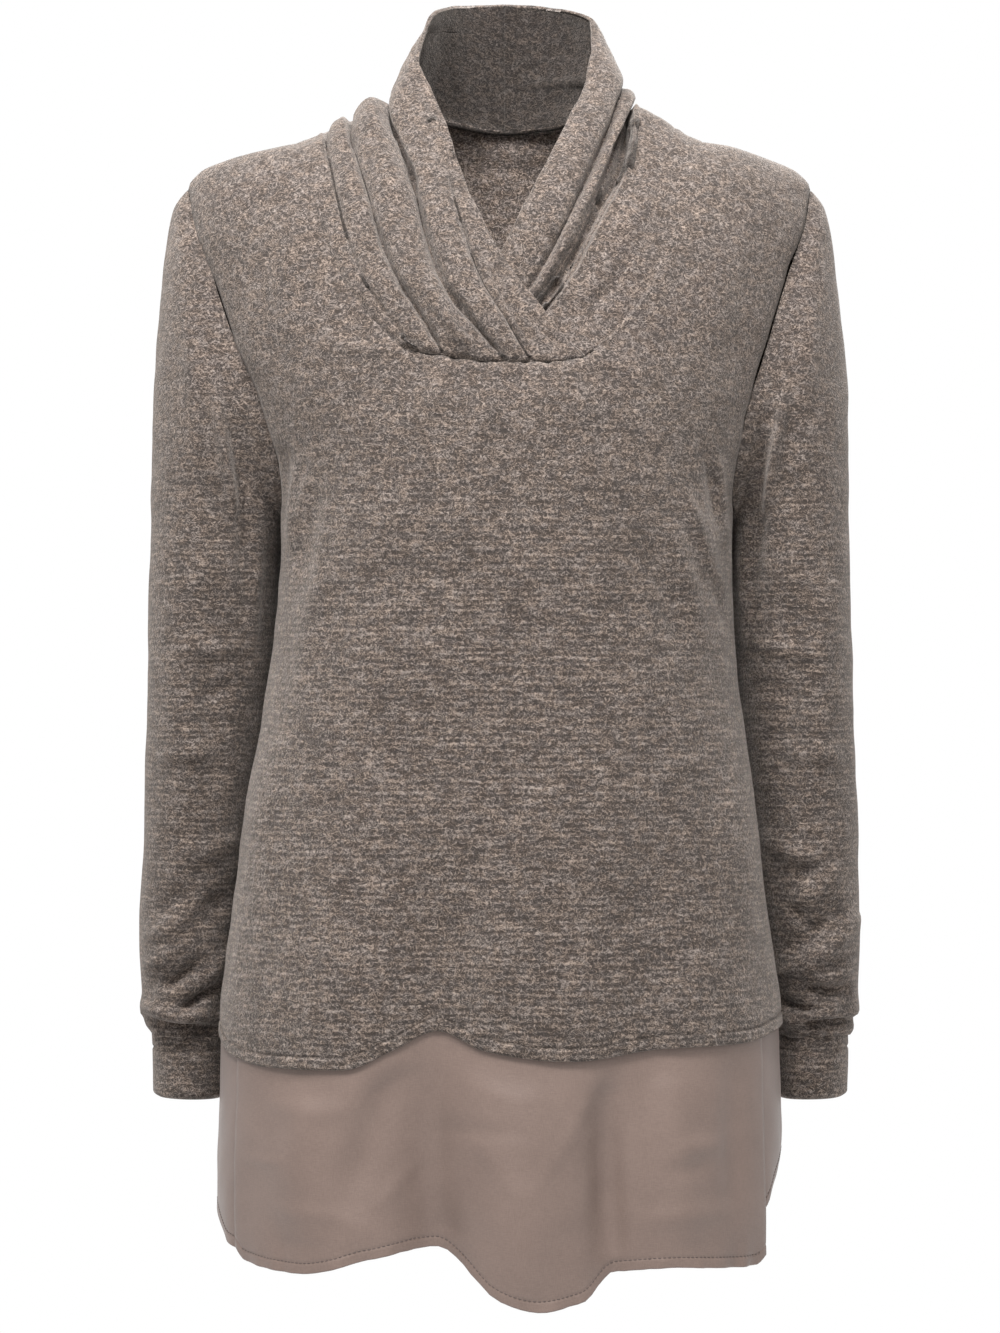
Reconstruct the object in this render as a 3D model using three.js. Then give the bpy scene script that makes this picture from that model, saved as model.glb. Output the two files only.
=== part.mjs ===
// Cowl neck sweater: knit body and sleeves, crossover gathered collar, woven shirt tail below the hem.
// Millimetres, +Z up, the wearer faces -Y. The origin is at the base of the neck, level with the back neck seam.
// Every piece of cloth is a closed wall: an outer grid of points, an inner grid behind it and the edges between.
import * as THREE from 'three';

// Cloth
const KNIT = 1.8;
const DOUBLED = 3;
const WOVEN = 1;
const SEAM_GAP = 0.3;

// Where the body's seams lie
const UNDERARM = -255;
const SHOULDER_POINT = -40;
const HEM_BAND = 22;
const TAIL_SEAM_ROWS = 2;
const ARMHOLE_REACH = 22;
const SEAM_TIP = 134;
const NECK_MIDDLE = { x: 3, y: 22 };
const COLLAR_TUCK = 0.045;
const FRONT_TAIL = { inset: 3, wrap: 0 };
const BACK_TAIL = { inset: 0.5, wrap: 4 };
const SHOULDER_HALF = 209;
const HEM_LEVEL = -600;
const BACK_HEM_RISE = 2;
const NECK_TOP = 16;

// How curves round off, and over which shares of a length a form fades in or out
const ARMHOLE_ROUNDING = 0.8;
const LOBE_ROUNDING = 0.6;
const LOBE_RISE = 0.1;
const LOBE_FALL = 0.03;
const STAND_SMOOTHING = 0.8;
const CALM_HEIGHT = 0.4;
const FULL_LOBE = 0.12;
const PUFF_START = 0.55;
const PUFF_LENGTH = 0.4;
const EDGE_FOOT = 0.15;
const SWELL_LOSS = 0.6;
const FOLD_FADE_DEPTH = 60;
const TAIL_FOLLOWS_BODY = 0.3;
const SLEEVE_SPACING = 0.72;
const SLEEVE_SEAM_TUCK = 0.18;
const LEAN_START = 0.4;
const LEAN_LENGTH = 0.4;
const CUFF_START_TAPER = 0.017;

// How finely the cloth is divided
const LOW_ROWS = 9;
const UNDER_YOKE_ROWS = 6;
const YOKE_ROWS = 7;
const ARMHOLE_ROWS = UNDER_YOKE_ROWS + YOKE_ROWS;
const SHOULDER_COLUMNS = 6;
const OPENING_COLUMNS = 10;
const GATHER_COLUMNS = 4;
const NECK_COLUMNS = 8;
const COWL_ROWS = 20;
const STAND_ROWS = 12;
const FOLD_STEPS = [0, 0.13, 0.36, 0.64, 0.87];
const TAIL_ROWS = 9;
const TAIL_COLUMNS_EACH = 2;

// Level sections of the body, from the neck down: half its width, its middle, and its depth each way
const BODY = [
  { level: 16, half: 72, middle: 3, front: 28, back: 50, square: 2 },
  { level: 8, half: 97, middle: 2, front: 40, back: 60, square: 2 },
  { level: -8, half: 134, middle: 0, front: 56, back: 70, square: 2 },
  { level: -13.3, half: 158, middle: 0, front: 62, back: 74, square: 2 },
  { level: -18.7, half: 182, middle: 0, front: 67, back: 78, square: 2 },
  { level: -28, half: 201, middle: 0, front: 74, back: 83, square: 2.05 },
  { level: -40, half: 208.5, middle: 0, front: 81, back: 88, square: 2.1 },
  { level: -60, half: 209, middle: 0, front: 90, back: 95, square: 2.15 },
  { level: -100, half: 200, middle: 0, front: 103, back: 103, square: 2.25 },
  { level: -145, half: 186, middle: 1, front: 113, back: 106, square: 2.35 },
  { level: -200, half: 164, middle: 4, front: 122, back: 105, square: 2.35 },
  { level: -255, half: 150.5, middle: 5, front: 122, back: 101, square: 2.35 },
  { level: -330, half: 152.5, middle: 3, front: 117, back: 94, square: 2.3 },
  { level: -400, half: 161.5, middle: 1.5, front: 115, back: 95, square: 2.3 },
  { level: -500, half: 175, middle: 0, front: 119, back: 102, square: 2.3 },
  { level: -600, half: 187.5, middle: 0, front: 124, back: 108, square: 2.3 },
  { level: -700, half: 190, middle: 0, front: 125, back: 110, square: 2.3 },
  { level: -800, half: 190, middle: 0, front: 125, back: 110, square: 2.3 },
];

// The knit hem's height across the front, and the woven tail's
const KNIT_HEM = [
  { x: -188, z: -599 },
  { x: -179, z: -610 },
  { x: -150, z: -616 },
  { x: -100, z: -615 },
  { x: -70, z: -603 },
  { x: -40, z: -590 },
  { x: -10, z: -602 },
  { x: 45, z: -609 },
  { x: 108, z: -602 },
  { x: 160, z: -601 },
  { x: 188, z: -594 },
];
const FRONT_TAIL_HEM = [
  { x: -174, z: -733 },
  { x: -165, z: -744 },
  { x: -129, z: -747 },
  { x: -80, z: -736 },
  { x: -40, z: -730 },
  { x: -22, z: -742 },
  { x: -2, z: -761 },
  { x: 25, z: -768 },
  { x: 52, z: -763 },
  { x: 72, z: -746 },
  { x: 110, z: -743 },
  { x: 165, z: -747 },
  { x: 174, z: -738 },
];
const BACK_TAIL_HEM = [
  { x: -188, z: -712 },
  { x: -176, z: -735 },
  { x: -120, z: -748 },
  { x: -60, z: -742 },
  { x: 0, z: -752 },
  { x: 70, z: -746 },
  { x: 130, z: -746 },
  { x: 164, z: -722 },
  { x: 178, z: -697 },
  { x: 188, z: -678 },
];

// The front's U-shaped opening: its sides from the chest up to the shoulder seam, and the gathered seam below
const OPENING_SIDE = [
  { share: 0, x: 62, z: -154 },
  { share: 0.2, x: 84, z: -132 },
  { share: 0.37, x: 101, z: -109 },
  { share: 0.53, x: 113, z: -82 },
  { share: 0.7, x: 123, z: -53 },
  { share: 0.85, x: 129, z: -29 },
  { share: 1, x: SEAM_TIP, z: -8 },
];
const CHEST_SEAM = [
  { share: 0, x: -62, z: -154 },
  { share: 0.15, x: -45, z: -157.5 },
  { share: 0.32, x: -24, z: -161 },
  { share: 0.5, x: 0, z: -163 },
  { share: 0.72, x: 28, z: -163 },
  { share: 0.92, x: 53, z: -160 },
  { share: 1, x: 62, z: -154 },
];
const BACK_NECK = [
  { share: 0, x: -69, y: 0, z: 16 },
  { share: 0.25, x: -48, y: 38, z: 12 },
  { share: 0.5, x: 3, y: 60, z: 5.5 },
  { share: 0.75, x: 58, y: 38, z: 10 },
  { share: 1, x: 82, y: 0, z: 13 },
];

// The collar's free edge, from the chest seam (0) up to the side of the neck (1) and round to the centre back (2)
const EDGE_RIGHT = [
  { share: 0, x: 58, y: -115, z: -158 },
  { share: 0.09, x: 40, y: -113, z: -140 },
  { share: 0.18, x: 22, y: -108.5, z: -120 },
  { share: 0.32, x: 0, y: -98, z: -90 },
  { share: 0.48, x: -19, y: -80, z: -52 },
  { share: 0.69, x: -35, y: -52, z: -1 },
  { share: 0.79, x: -44, y: -35, z: 20 },
  { share: 0.9, x: -54, y: -15, z: 46 },
  { share: 1, x: -51, y: 3, z: 65 },
  { share: 1.25, x: -45, y: 24, z: 83 },
  { share: 1.5, x: -33, y: 47, z: 89 },
  { share: 1.75, x: -16, y: 60, z: 91 },
  { share: 2, x: 3, y: 64, z: 92 },
];
const EDGE_LEFT = [
  { share: 0, x: -52, y: -108, z: -156 },
  { share: 0.1, x: -34, y: -103, z: -138 },
  { share: 0.2, x: -18, y: -98, z: -118 },
  { share: 0.33, x: 0, y: -91, z: -90 },
  { share: 0.48, x: 16, y: -84, z: -58 },
  { share: 0.62, x: 32, y: -68, z: -25 },
  { share: 0.75, x: 44, y: -50, z: 0 },
  { share: 0.89, x: 55, y: -25, z: 27 },
  { share: 1, x: 61, y: 3, z: 54 },
  { share: 1.25, x: 62, y: 28, z: 76 },
  { share: 1.5, x: 46, y: 48, z: 87 },
  { share: 1.75, x: 25, y: 60, z: 91 },
  { share: 2, x: 3, y: 64, z: 92 },
];

// The collar's creases, as shares of the way from the opening's side to the free edge, from the chest seam up to
// the shoulder. The fold that follows a crease stands up by its height, and by its puff where it nears the shoulder.
const FOLDS_RIGHT = [
  { chest: 0, low: 0, middle: 0, high: 0, shoulder: 0, height: 3, puff: 5 },
  { chest: 0.09, low: 0.13, middle: 0.15, high: 0.18, shoulder: 0.2, height: 5, puff: 9 },
  { chest: 0.25, low: 0.34, middle: 0.36, high: 0.37, shoulder: 0.37, height: 8, puff: 15 },
  { chest: 0.58, low: 0.59, middle: 0.65, high: 0.68, shoulder: 0.68, height: 7, puff: 5 },
  { chest: 0.72, low: 0.8, middle: 0.9, high: 0.93, shoulder: 0.93, height: 2, puff: 1 },
  { chest: 1, low: 1, middle: 1, high: 1, shoulder: 1, height: 0, puff: 0 },
];
const FOLDS_LEFT = [
  { chest: 0, low: 0, middle: 0, high: 0, shoulder: 0, height: 3, puff: 5 },
  { chest: 0.3, low: 0.25, middle: 0.22, high: 0.2, shoulder: 0.2, height: 5, puff: 9 },
  { chest: 0.64, low: 0.63, middle: 0.6, high: 0.56, shoulder: 0.55, height: 5, puff: 8 },
  { chest: 0.74, low: 0.73, middle: 0.72, high: 0.72, shoulder: 0.72, height: 6, puff: 6 },
  { chest: 1, low: 1, middle: 1, high: 1, shoulder: 1, height: 0, puff: 0 },
];
const COLLARS = {
  right: { side: -1, folds: FOLDS_RIGHT, edge: EDGE_RIGHT, neckFold: 3, foot: 0.92, layer: 0, bulge: 6, swell: 1,
    calm: 0.6 },
  left: { side: 1, folds: FOLDS_LEFT, edge: EDGE_LEFT, neckFold: 2, foot: 0.92, layer: DOUBLED + SEAM_GAP, bulge: -3,
    swell: 6, calm: 0 },
};

// Rings of a sleeve from the shoulder to the cuff: its outer edge, its inner edge from the body's side, and its depth
const SLEEVE = [
  { share: 0, outer: 208.8, outerLevel: -40, outerY: 0, gap: 0.3, innerLevel: -255, innerY: 0, depth: 50 },
  { share: 0.06, outer: 217.5, outerLevel: -54, outerY: 0, gap: 2, innerLevel: -258, innerY: 5, depth: 55 },
  { share: 0.13, outer: 223, outerLevel: -84, outerY: 0, gap: 1.4, innerLevel: -262, innerY: 11, depth: 57 },
  { share: 0.2, outer: 227, outerLevel: -118, outerY: 1, gap: 0.9, innerLevel: -268, innerY: 16, depth: 58 },
  { share: 0.28, outer: 230, outerLevel: -160, outerY: 2, gap: 0.6, innerLevel: -279, innerY: 21, depth: 58 },
  { share: 0.38, outer: 232, outerLevel: -215, outerY: 5, gap: 0.3, innerLevel: -298, innerY: 26, depth: 56 },
  { share: 0.5, outer: 234, outerLevel: -290, outerY: 10, gap: -0.5, innerLevel: -330, innerY: 30, depth: 52 },
  { share: 0.64, outer: 237, outerLevel: -385, outerY: 22, gap: -1.5, innerLevel: -400, innerY: 34, depth: 48 },
  { share: 0.78, outer: 241, outerLevel: -475, outerY: 33, gap: -3, innerLevel: -482, innerY: 39, depth: 44 },
  { share: 0.88, outer: 243.5, outerLevel: -540, outerY: 41, gap: -5, innerLevel: -543, innerY: 43, depth: 41 },
  { share: 0.93, outer: 242, outerLevel: -575, outerY: 44, gap: -5, innerLevel: -576, innerY: 44, depth: 39 },
  { share: 0.96, outer: 243.5, outerLevel: -591, outerY: 45, gap: -5.5, innerLevel: -592, innerY: 45, depth: 39 },
  { share: 1, outer: 236, outerLevel: -606, outerY: 45, gap: -3, innerLevel: -607, innerY: 45, depth: 31 },
];
const SLEEVE_RINGS = 19;
const CUFF_HEIGHT = 42;
const CUFF_TAPER = 0.033;
const CUFF_RINGS = 2;
const SLEEVE_FADE = 0.22;

// Long soft folds: where each starts and ends across and up the piece, how wide it is and how far it stands out
const FRONT_FOLDS = [
  { fromX: -40, fromZ: -590, toX: -62, toZ: -440, width: 26, lift: -9, open: true },
  { fromX: 2, fromZ: -603, toX: -6, toZ: -470, width: 24, lift: 4, open: true },
  { fromX: -105, fromZ: -616, toX: -110, toZ: -470, width: 34, lift: 5, open: true },
  { fromX: 90, fromZ: -603, toX: 104, toZ: -420, width: 26, lift: -4, open: true },
  { fromX: 128, fromZ: -240, toX: 146, toZ: -330, width: 9, lift: 4, open: false },
];
const BACK_FOLDS = [
  { fromX: -60, fromZ: -605, toX: -40, toZ: -430, width: 30, lift: -7, open: true },
  { fromX: 55, fromZ: -605, toX: 38, toZ: -440, width: 28, lift: -6, open: true },
];
const FRONT_TAIL_FOLDS = [
  { fromX: -40, fromZ: -750, toX: -44, toZ: -590, width: 22, lift: -12, open: true },
  { fromX: 22, fromZ: -770, toX: 4, toZ: -600, width: 26, lift: 9, open: true },
  { fromX: 72, fromZ: -750, toX: 60, toZ: -610, width: 14, lift: -10, open: true },
  { fromX: 118, fromZ: -750, toX: 112, toZ: -620, width: 26, lift: 5, open: true },
  { fromX: -128, fromZ: -750, toX: -120, toZ: -620, width: 30, lift: 6, open: true },
];
const BACK_TAIL_FOLDS = [
  { fromX: -62, fromZ: -755, toX: -56, toZ: -600, width: 24, lift: -9, open: true },
  { fromX: 4, fromZ: -760, toX: 0, toZ: -600, width: 26, lift: 7, open: true },
  { fromX: 66, fromZ: -755, toX: 56, toZ: -600, width: 20, lift: -9, open: true },
];

const knitLook = () => new THREE.MeshStandardMaterial({ color: 0x776c66, roughness: 0.95, metalness: 0 });
const wovenLook = () => new THREE.MeshStandardMaterial({ color: 0x85736a, roughness: 0.6, metalness: 0 });

const mix = (a, b, t) => a + (b - a) * t;
const clamp = (t) => Math.min(1, Math.max(0, t));
const radians = THREE.MathUtils.degToRad;
const point = (x, y, z) => new THREE.Vector3(x, y, z);

// A smooth curve through one column of a table, read at a value of another column
function read(rows, by, column, at) {
  const rising = rows[0][by] < rows[rows.length - 1][by] ? rows : [...rows].reverse();
  const last = rising.length - 1;
  let k = 0;
  while (k < last - 1 && at > rising[k + 1][by]) k += 1;
  const slope = (i) => (rising[i + 1][column] - rising[i][column]) / (rising[i + 1][by] - rising[i][by]);
  const tangent = (i) => {
    if (i === 0) return slope(0);
    if (i === last) return slope(last - 1);
    return slope(i - 1) * slope(i) > 0 ? (2 * slope(i - 1) * slope(i)) / (slope(i - 1) + slope(i)) : 0;
  };
  const span = rising[k + 1][by] - rising[k][by];
  const t = clamp((at - rising[k][by]) / span);
  const [a, b] = [rising[k][column], rising[k + 1][column]];
  const [m, n] = [tangent(k) * span, tangent(k + 1) * span];
  return a + t * (m + t * (3 * (b - a) - 2 * m - n + t * (m + n - 2 * (b - a))));
}

const half = (z) => read(BODY, 'level', 'half', z);
const middle = (z) => read(BODY, 'level', 'middle', z);
const square = (z) => read(BODY, 'level', 'square', z);
const depth = (z, side) => read(BODY, 'level', side < 0 ? 'front' : 'back', z);

// The body's depth under a point seen from the front (side -1) or the back (side 1)
function bodyY(x, z, side) {
  const across = clamp(Math.abs(x - middle(z)) / half(z));
  const n = square(z);
  return side * depth(z, side) * (1 - across ** n) ** (1 / n);
}

// The width from the middle line at an angle round from the front or the back
function bodyX(degrees, z) {
  const s = Math.sin(radians(degrees));
  return middle(z) + half(z) * Math.sign(s) * Math.abs(s) ** (2 / square(z));
}

// The height of the shoulder's ridge above a place across it
function ridge(x) {
  let [low, high] = [SHOULDER_POINT, NECK_TOP];
  while (high - low > 1e-7) {
    const z = (low + high) / 2;
    if (half(z) > Math.abs(x - middle(z))) low = z;
    else high = z;
  }
  return low;
}

// How far a table's long folds lift the cloth at a place
function lifted(rows, x, z) {
  return rows.reduce((sum, row) => {
    const along = (z - row.fromZ) / (row.toZ - row.fromZ);
    if (along > 1 || (along < 0 && !row.open)) return sum;
    const strength = row.open ? Math.cos((Math.PI / 2) * clamp(along)) : Math.sin(Math.PI * along);
    const off = (x - mix(row.fromX, row.toX, clamp(along))) / row.width;
    return sum + row.lift * strength * Math.exp(-off * off);
  }, 0);
}

// Normals of a grid of points, from the cells that are cloth
function normals(grid, isCloth, round) {
  const found = grid.map((row) => row.map(() => point(0, 0, 0)));
  const columns = grid[0].length;
  for (let i = 0; i < grid.length - 1; i += 1) {
    for (let j = 0; j < (round ? columns : columns - 1); j += 1) {
      if (!isCloth(i, j)) continue;
      const next = (j + 1) % columns;
      const rise = grid[i + 1][next].clone().sub(grid[i][j]);
      const fall = grid[i + 1][j].clone().sub(grid[i][next]);
      const face = rise.cross(fall);
      for (const [a, b] of [[i, j], [i + 1, j], [i, next], [i + 1, next]]) found[a][b].add(face);
    }
  }
  return found.map((row) => row.map((n) => (n.length() > 0 ? n.normalize() : n)));
}

// A closed wall of cloth behind a grid of outer points
function wall(name, look, grid, thickness, { isCloth = () => true, round = false, lean = null } = {}) {
  const rows = grid.length;
  const columns = grid[0].length;
  const cells = round ? columns : columns - 1;
  const has = (i, j) => i >= 0 && i < rows - 1 && (round || (j >= 0 && j < cells)) && isCloth(i, (j + cells) % cells);
  const out = normals(grid, has, round);
  const positions = [];
  const index = [];
  grid.forEach((row, i) => row.forEach((p, j) => {
    const n = lean ? lean(i, j, out[i][j], p) : out[i][j];
    const inner = p.clone().addScaledVector(n, -thickness);
    positions.push(...p.toArray(), ...inner.toArray());
  }));
  const outer = (i, j) => 2 * (i * columns + (j % columns));
  const inside = (i, j) => outer(i, j) + 1;
  const face = (a, b, c, d) => index.push(a, b, c, a, c, d);
  for (let i = 0; i < rows - 1; i += 1) {
    for (let j = 0; j < cells; j += 1) {
      if (!has(i, j)) continue;
      face(outer(i, j), outer(i, j + 1), outer(i + 1, j + 1), outer(i + 1, j));
      face(inside(i, j), inside(i + 1, j), inside(i + 1, j + 1), inside(i, j + 1));
      if (!has(i - 1, j)) face(outer(i, j), inside(i, j), inside(i, j + 1), outer(i, j + 1));
      if (!has(i + 1, j)) face(outer(i + 1, j + 1), inside(i + 1, j + 1), inside(i + 1, j), outer(i + 1, j));
      if (!has(i, j - 1)) face(outer(i + 1, j), inside(i + 1, j), inside(i, j), outer(i, j));
      if (!has(i, j + 1)) face(outer(i, j + 1), inside(i, j + 1), inside(i + 1, j + 1), outer(i + 1, j + 1));
    }
  }
  const used = [...new Set(index)];
  const place = new Map(used.map((from, to) => [from, to]));
  const geometry = new THREE.BufferGeometry();
  const kept = used.flatMap((k) => positions.slice(3 * k, 3 * k + 3));
  geometry.setAttribute('position', new THREE.Float32BufferAttribute(kept, 3));
  geometry.setIndex(index.map((k) => place.get(k)));
  geometry.computeVertexNormals();
  const mesh = new THREE.Mesh(geometry, look);
  mesh.name = name;
  return mesh;
}

// The armhole seam: front (side -1) or back (side 1), from the underarm (0) to the shoulder point (1)
function armhole(across, side, share) {
  const z = mix(UNDERARM, SHOULDER_POINT, (1 - Math.cos(Math.PI * share)) / 2);
  const turned = 90 - ARMHOLE_REACH * clamp(Math.sin(Math.PI * share)) ** ARMHOLE_ROUNDING;
  const x = bodyX(across * turned, z);
  const y = turned === 90 ? 0 : bodyY(x, z, side);
  return point(x, y, z);
}

const armholeShares = Array.from({ length: ARMHOLE_ROWS + 1 }, (_, k) => k / ARMHOLE_ROWS);

// A flat patch of x and z between four edges, given as functions from 0 to 1
function patch(bottom, top, start, end, s, t, ease) {
  const e = ease(t);
  return ['x', 'z'].map((key) => {
    const straight = mix(bottom(s)[key], top(s)[key], e);
    const atStart = start(t)[key] - mix(bottom(0)[key], top(0)[key], e);
    const atEnd = end(t)[key] - mix(bottom(1)[key], top(1)[key], e);
    return straight + (1 - s) * atStart + s * atEnd;
  });
}

const even = (t) => t;
const quickly = (t) => 1 - (1 - t) ** 2;

const hemZ = (x, side) => (side < 0 ? read(KNIT_HEM, 'x', 'z', x) : read(KNIT_HEM, 'x', 'z', x) + BACK_HEM_RISE);

// A point on the body's cloth, moved out by the folds there, half a seam gap from the seams' plane
function onBody(x, z, side, folds) {
  const y = bodyY(x, z, side);
  const facing = clamp(Math.abs(y) / FOLD_FADE_DEPTH);
  return point(x, y + side * (SEAM_GAP / 2 + facing * lifted(folds, x, z)), z);
}

// Rows of the front or back from the hem up to the underarm, turned from one side seam to the other
function lowRows(columns, side, folds) {
  return Array.from({ length: LOW_ROWS }, (_, i) => Array.from({ length: columns + 1 }, (_, j) => {
    const degrees = side * (90 - (180 * j) / columns);
    const hem = hemZ(bodyX(degrees, HEM_LEVEL), side);
    const z = i === 0 ? hem : mix(hem + HEM_BAND, UNDERARM, (i - 1) / (LOW_ROWS - 1));
    return onBody(bodyX(degrees, z), z, side, folds);
  }));
}

const underarmPoint = (columns, side) => (s) => {
  const x = bodyX(side * (90 - 180 * s), UNDERARM);
  return { x, z: UNDERARM };
};

const shoulderPoint = (across, share) => {
  const x = across * mix(SHOULDER_HALF, SEAM_TIP, share);
  return { x: share === 0 ? across * half(SHOULDER_POINT) : x, z: share === 0 ? SHOULDER_POINT : ridge(x) };
};

// The front, with its columns from the wearer's right (-x) to left
function frontGrid() {
  const columns = 2 * SHOULDER_COLUMNS + OPENING_COLUMNS;
  const grid = lowRows(columns, -1, FRONT_FOLDS);
  const corner = SHOULDER_COLUMNS / columns;
  const split = armholeShares[UNDER_YOKE_ROWS];
  const seam = (share) => ({ x: read(CHEST_SEAM, 'share', 'x', share), z: read(CHEST_SEAM, 'share', 'z', share) });
  const yokeLine = (s) => {
    const across = s < 0.5 ? -1 : 1;
    const inward = Math.min(s, 1 - s) / corner;
    if (inward > 1 + 1e-9) return seam((s - corner) / (1 - 2 * corner));
    const from = armhole(across, -1, split);
    const to = seam(across < 0 ? 0 : 1);
    return { x: mix(from.x, to.x, inward), z: mix(from.z, to.z, inward) };
  };
  for (let i = 0; i < UNDER_YOKE_ROWS; i += 1) {
    grid.push(Array.from({ length: columns + 1 }, (_, j) => {
      const [x, z] = patch(underarmPoint(columns, -1), yokeLine, (t) => armhole(-1, -1, split * t),
        (t) => armhole(1, -1, split * t), j / columns, i / UNDER_YOKE_ROWS, even);
      return onBody(x, z, -1, FRONT_FOLDS);
    }));
  }
  for (let i = 0; i <= YOKE_ROWS; i += 1) {
    grid.push(Array.from({ length: columns + 1 }, (_, j) => {
      if (j > SHOULDER_COLUMNS && j < columns - SHOULDER_COLUMNS) {
        const { x, z } = yokeLine(j / columns);
        return onBody(x, z, -1, FRONT_FOLDS);
      }
      const across = j <= SHOULDER_COLUMNS ? -1 : 1;
      const inward = (across < 0 ? j : columns - j) / SHOULDER_COLUMNS;
      const [x, z] = patch((s) => yokeLine(across < 0 ? s * corner : 1 - s * corner), (s) => shoulderPoint(across, s),
        (t) => armhole(across, -1, mix(split, 1, t)), (t) => openingSide(across, t), inward, i / YOKE_ROWS, quickly);
      if (i === YOKE_ROWS) return point(x, -SEAM_GAP / 2, z);
      return onBody(x, z, -1, FRONT_FOLDS);
    }));
  }
  return grid;
}

function openingSide(across, share) {
  return { x: across * read(OPENING_SIDE, 'share', 'x', share), z: read(OPENING_SIDE, 'share', 'z', share) };
}

const isFront = (i, j) => {
  const top = LOW_ROWS + UNDER_YOKE_ROWS;
  return i < top || j < SHOULDER_COLUMNS || j >= SHOULDER_COLUMNS + OPENING_COLUMNS;
};

// The back's top edge from the wearer's left shoulder point over the neck to the right one
function backTop(j) {
  const side = SHOULDER_COLUMNS + GATHER_COLUMNS;
  const across = j < side + NECK_COLUMNS / 2 ? 1 : -1;
  const k = Math.min(j, 2 * side + NECK_COLUMNS - j);
  if (k <= SHOULDER_COLUMNS) {
    const { x, z } = shoulderPoint(across, k / SHOULDER_COLUMNS);
    return point(x, SEAM_GAP / 2, z);
  }
  const neck = (share, key) => read(BACK_NECK, 'share', key, share);
  if (k < side) {
    const x = mix(across * SEAM_TIP, neck(across < 0 ? 0 : 1, 'x'), (k - SHOULDER_COLUMNS) / GATHER_COLUMNS);
    return point(x, SEAM_GAP / 2, ridge(x));
  }
  const share = 1 - (j - side) / NECK_COLUMNS;
  const [x, z] = [neck(share, 'x'), neck(share, 'z')];
  return point(x, Math.max(SEAM_GAP / 2, neck(share, 'y')), z);
}

function backGrid() {
  const columns = 2 * (SHOULDER_COLUMNS + GATHER_COLUMNS) + NECK_COLUMNS;
  const grid = lowRows(columns, 1, BACK_FOLDS);
  for (let i = 0; i <= ARMHOLE_ROWS; i += 1) {
    grid.push(Array.from({ length: columns + 1 }, (_, j) => {
      if (i === ARMHOLE_ROWS) return backTop(j);
      const [x, z] = patch(underarmPoint(columns, 1), (s) => backTop(Math.round(s * columns)),
        (t) => armhole(1, 1, t), (t) => armhole(-1, 1, t), j / columns, i / ARMHOLE_ROWS, quickly);
      return onBody(x, z, 1, BACK_FOLDS);
    }));
  }
  return grid;
}

// Seams on the plane between front and back lean with that plane, so that the two walls meet squarely
function seamLean(i, j, normal, p) {
  if (Math.abs(p.y) > 1) return normal;
  return point(normal.x, 0, normal.z).normalize();
}

// A place between the points of a row, on the straight lines from one to the next
function between(points, at) {
  const k = Math.min(points.length - 2, Math.max(0, Math.floor(at)));
  return points[k].clone().lerp(points[k + 1], at - k);
}

// One side's sleeve. Its first ring lies along the armhole, and the rings below turn into plain ovals
function sleeveRing(across, share, armholeFade) {
  const at = (column) => read(SLEEVE, 'share', column, share);
  const level = at('innerLevel');
  const outer = point(across * at('outer'), at('outerY'), at('outerLevel'));
  const inner = point(across * (half(level) + at('gap')) + middle(level), at('innerY'), level);
  const centre = outer.clone().add(inner).multiplyScalar(0.5);
  const arm = outer.sub(inner).multiplyScalar(0.5);
  return Array.from({ length: 2 * ARMHOLE_ROWS }, (_, k) => {
    const side = k <= ARMHOLE_ROWS ? across : -across;
    const turn = k / ARMHOLE_ROWS;
    const w = turn <= 1 ? turn : 2 - turn;
    const p = centre.clone().addScaledVector(arm, -Math.cos(Math.PI * w));
    p.y += side * at('depth') * Math.sin(Math.PI * w);
    if (!armholeFade) return p;
    const seam = armhole(across, side, w);
    seam.x += across * SEAM_GAP;
    seam.y -= side * SLEEVE_SEAM_TUCK * Math.sin(Math.PI * w);
    return p.add(seam.sub(sleeveStart(across, side, w)).multiplyScalar(armholeFade));
  });
}

// The plain oval's own place at the armhole, from which the seam's true place is measured
function sleeveStart(across, side, w) {
  const first = SLEEVE[0];
  const outer = point(across * first.outer, 0, first.outerLevel);
  const inner = point(across * (half(first.innerLevel) + first.gap) + middle(first.innerLevel), 0, first.innerLevel);
  const p = inner.lerp(outer, (1 - Math.cos(Math.PI * w)) / 2);
  p.y += side * first.depth * Math.sin(Math.PI * w);
  return p;
}

function sleeveGrid(across) {
  return Array.from({ length: SLEEVE_RINGS }, (_, i) => {
    const t = i / (SLEEVE_RINGS - 1);
    const share = mix(t * t, t, SLEEVE_SPACING);
    return sleeveRing(across, share, 1 - quickly(clamp(share / SLEEVE_FADE)));
  });
}

// Near the shoulder the sleeve's seam edge leans with the body's, and lower down it leans its own way
function sleeveLean(across, body) {
  return (i, j, normal) => {
    if (i > 0) return normal;
    const turn = j / ARMHOLE_ROWS;
    const w = turn <= 1 ? turn : 2 - turn;
    const side = j <= ARMHOLE_ROWS ? across : -across;
    const strength = quickly(clamp((w - LEAN_START) / LEAN_LENGTH));
    return normal.clone().lerp(body(across, side, Math.round(w * ARMHOLE_ROWS)), strength).normalize();
  };
}

function cuffGrid(across) {
  const last = SLEEVE[SLEEVE.length - 1];
  const top = sleeveRing(across, 1, 0);
  const centre = top.reduce((sum, p) => sum + p.x, 0) / top.length;
  return Array.from({ length: CUFF_RINGS + 1 }, (_, i) => top.map((p) => {
    const down = (CUFF_HEIGHT * i) / CUFF_RINGS;
    const shrink = 1 - CUFF_START_TAPER - (CUFF_TAPER * i) / CUFF_RINGS;
    return point(mix(centre, p.x, shrink), mix(last.innerY, p.y, shrink), p.z - SEAM_GAP - down);
  }));
}

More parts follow.
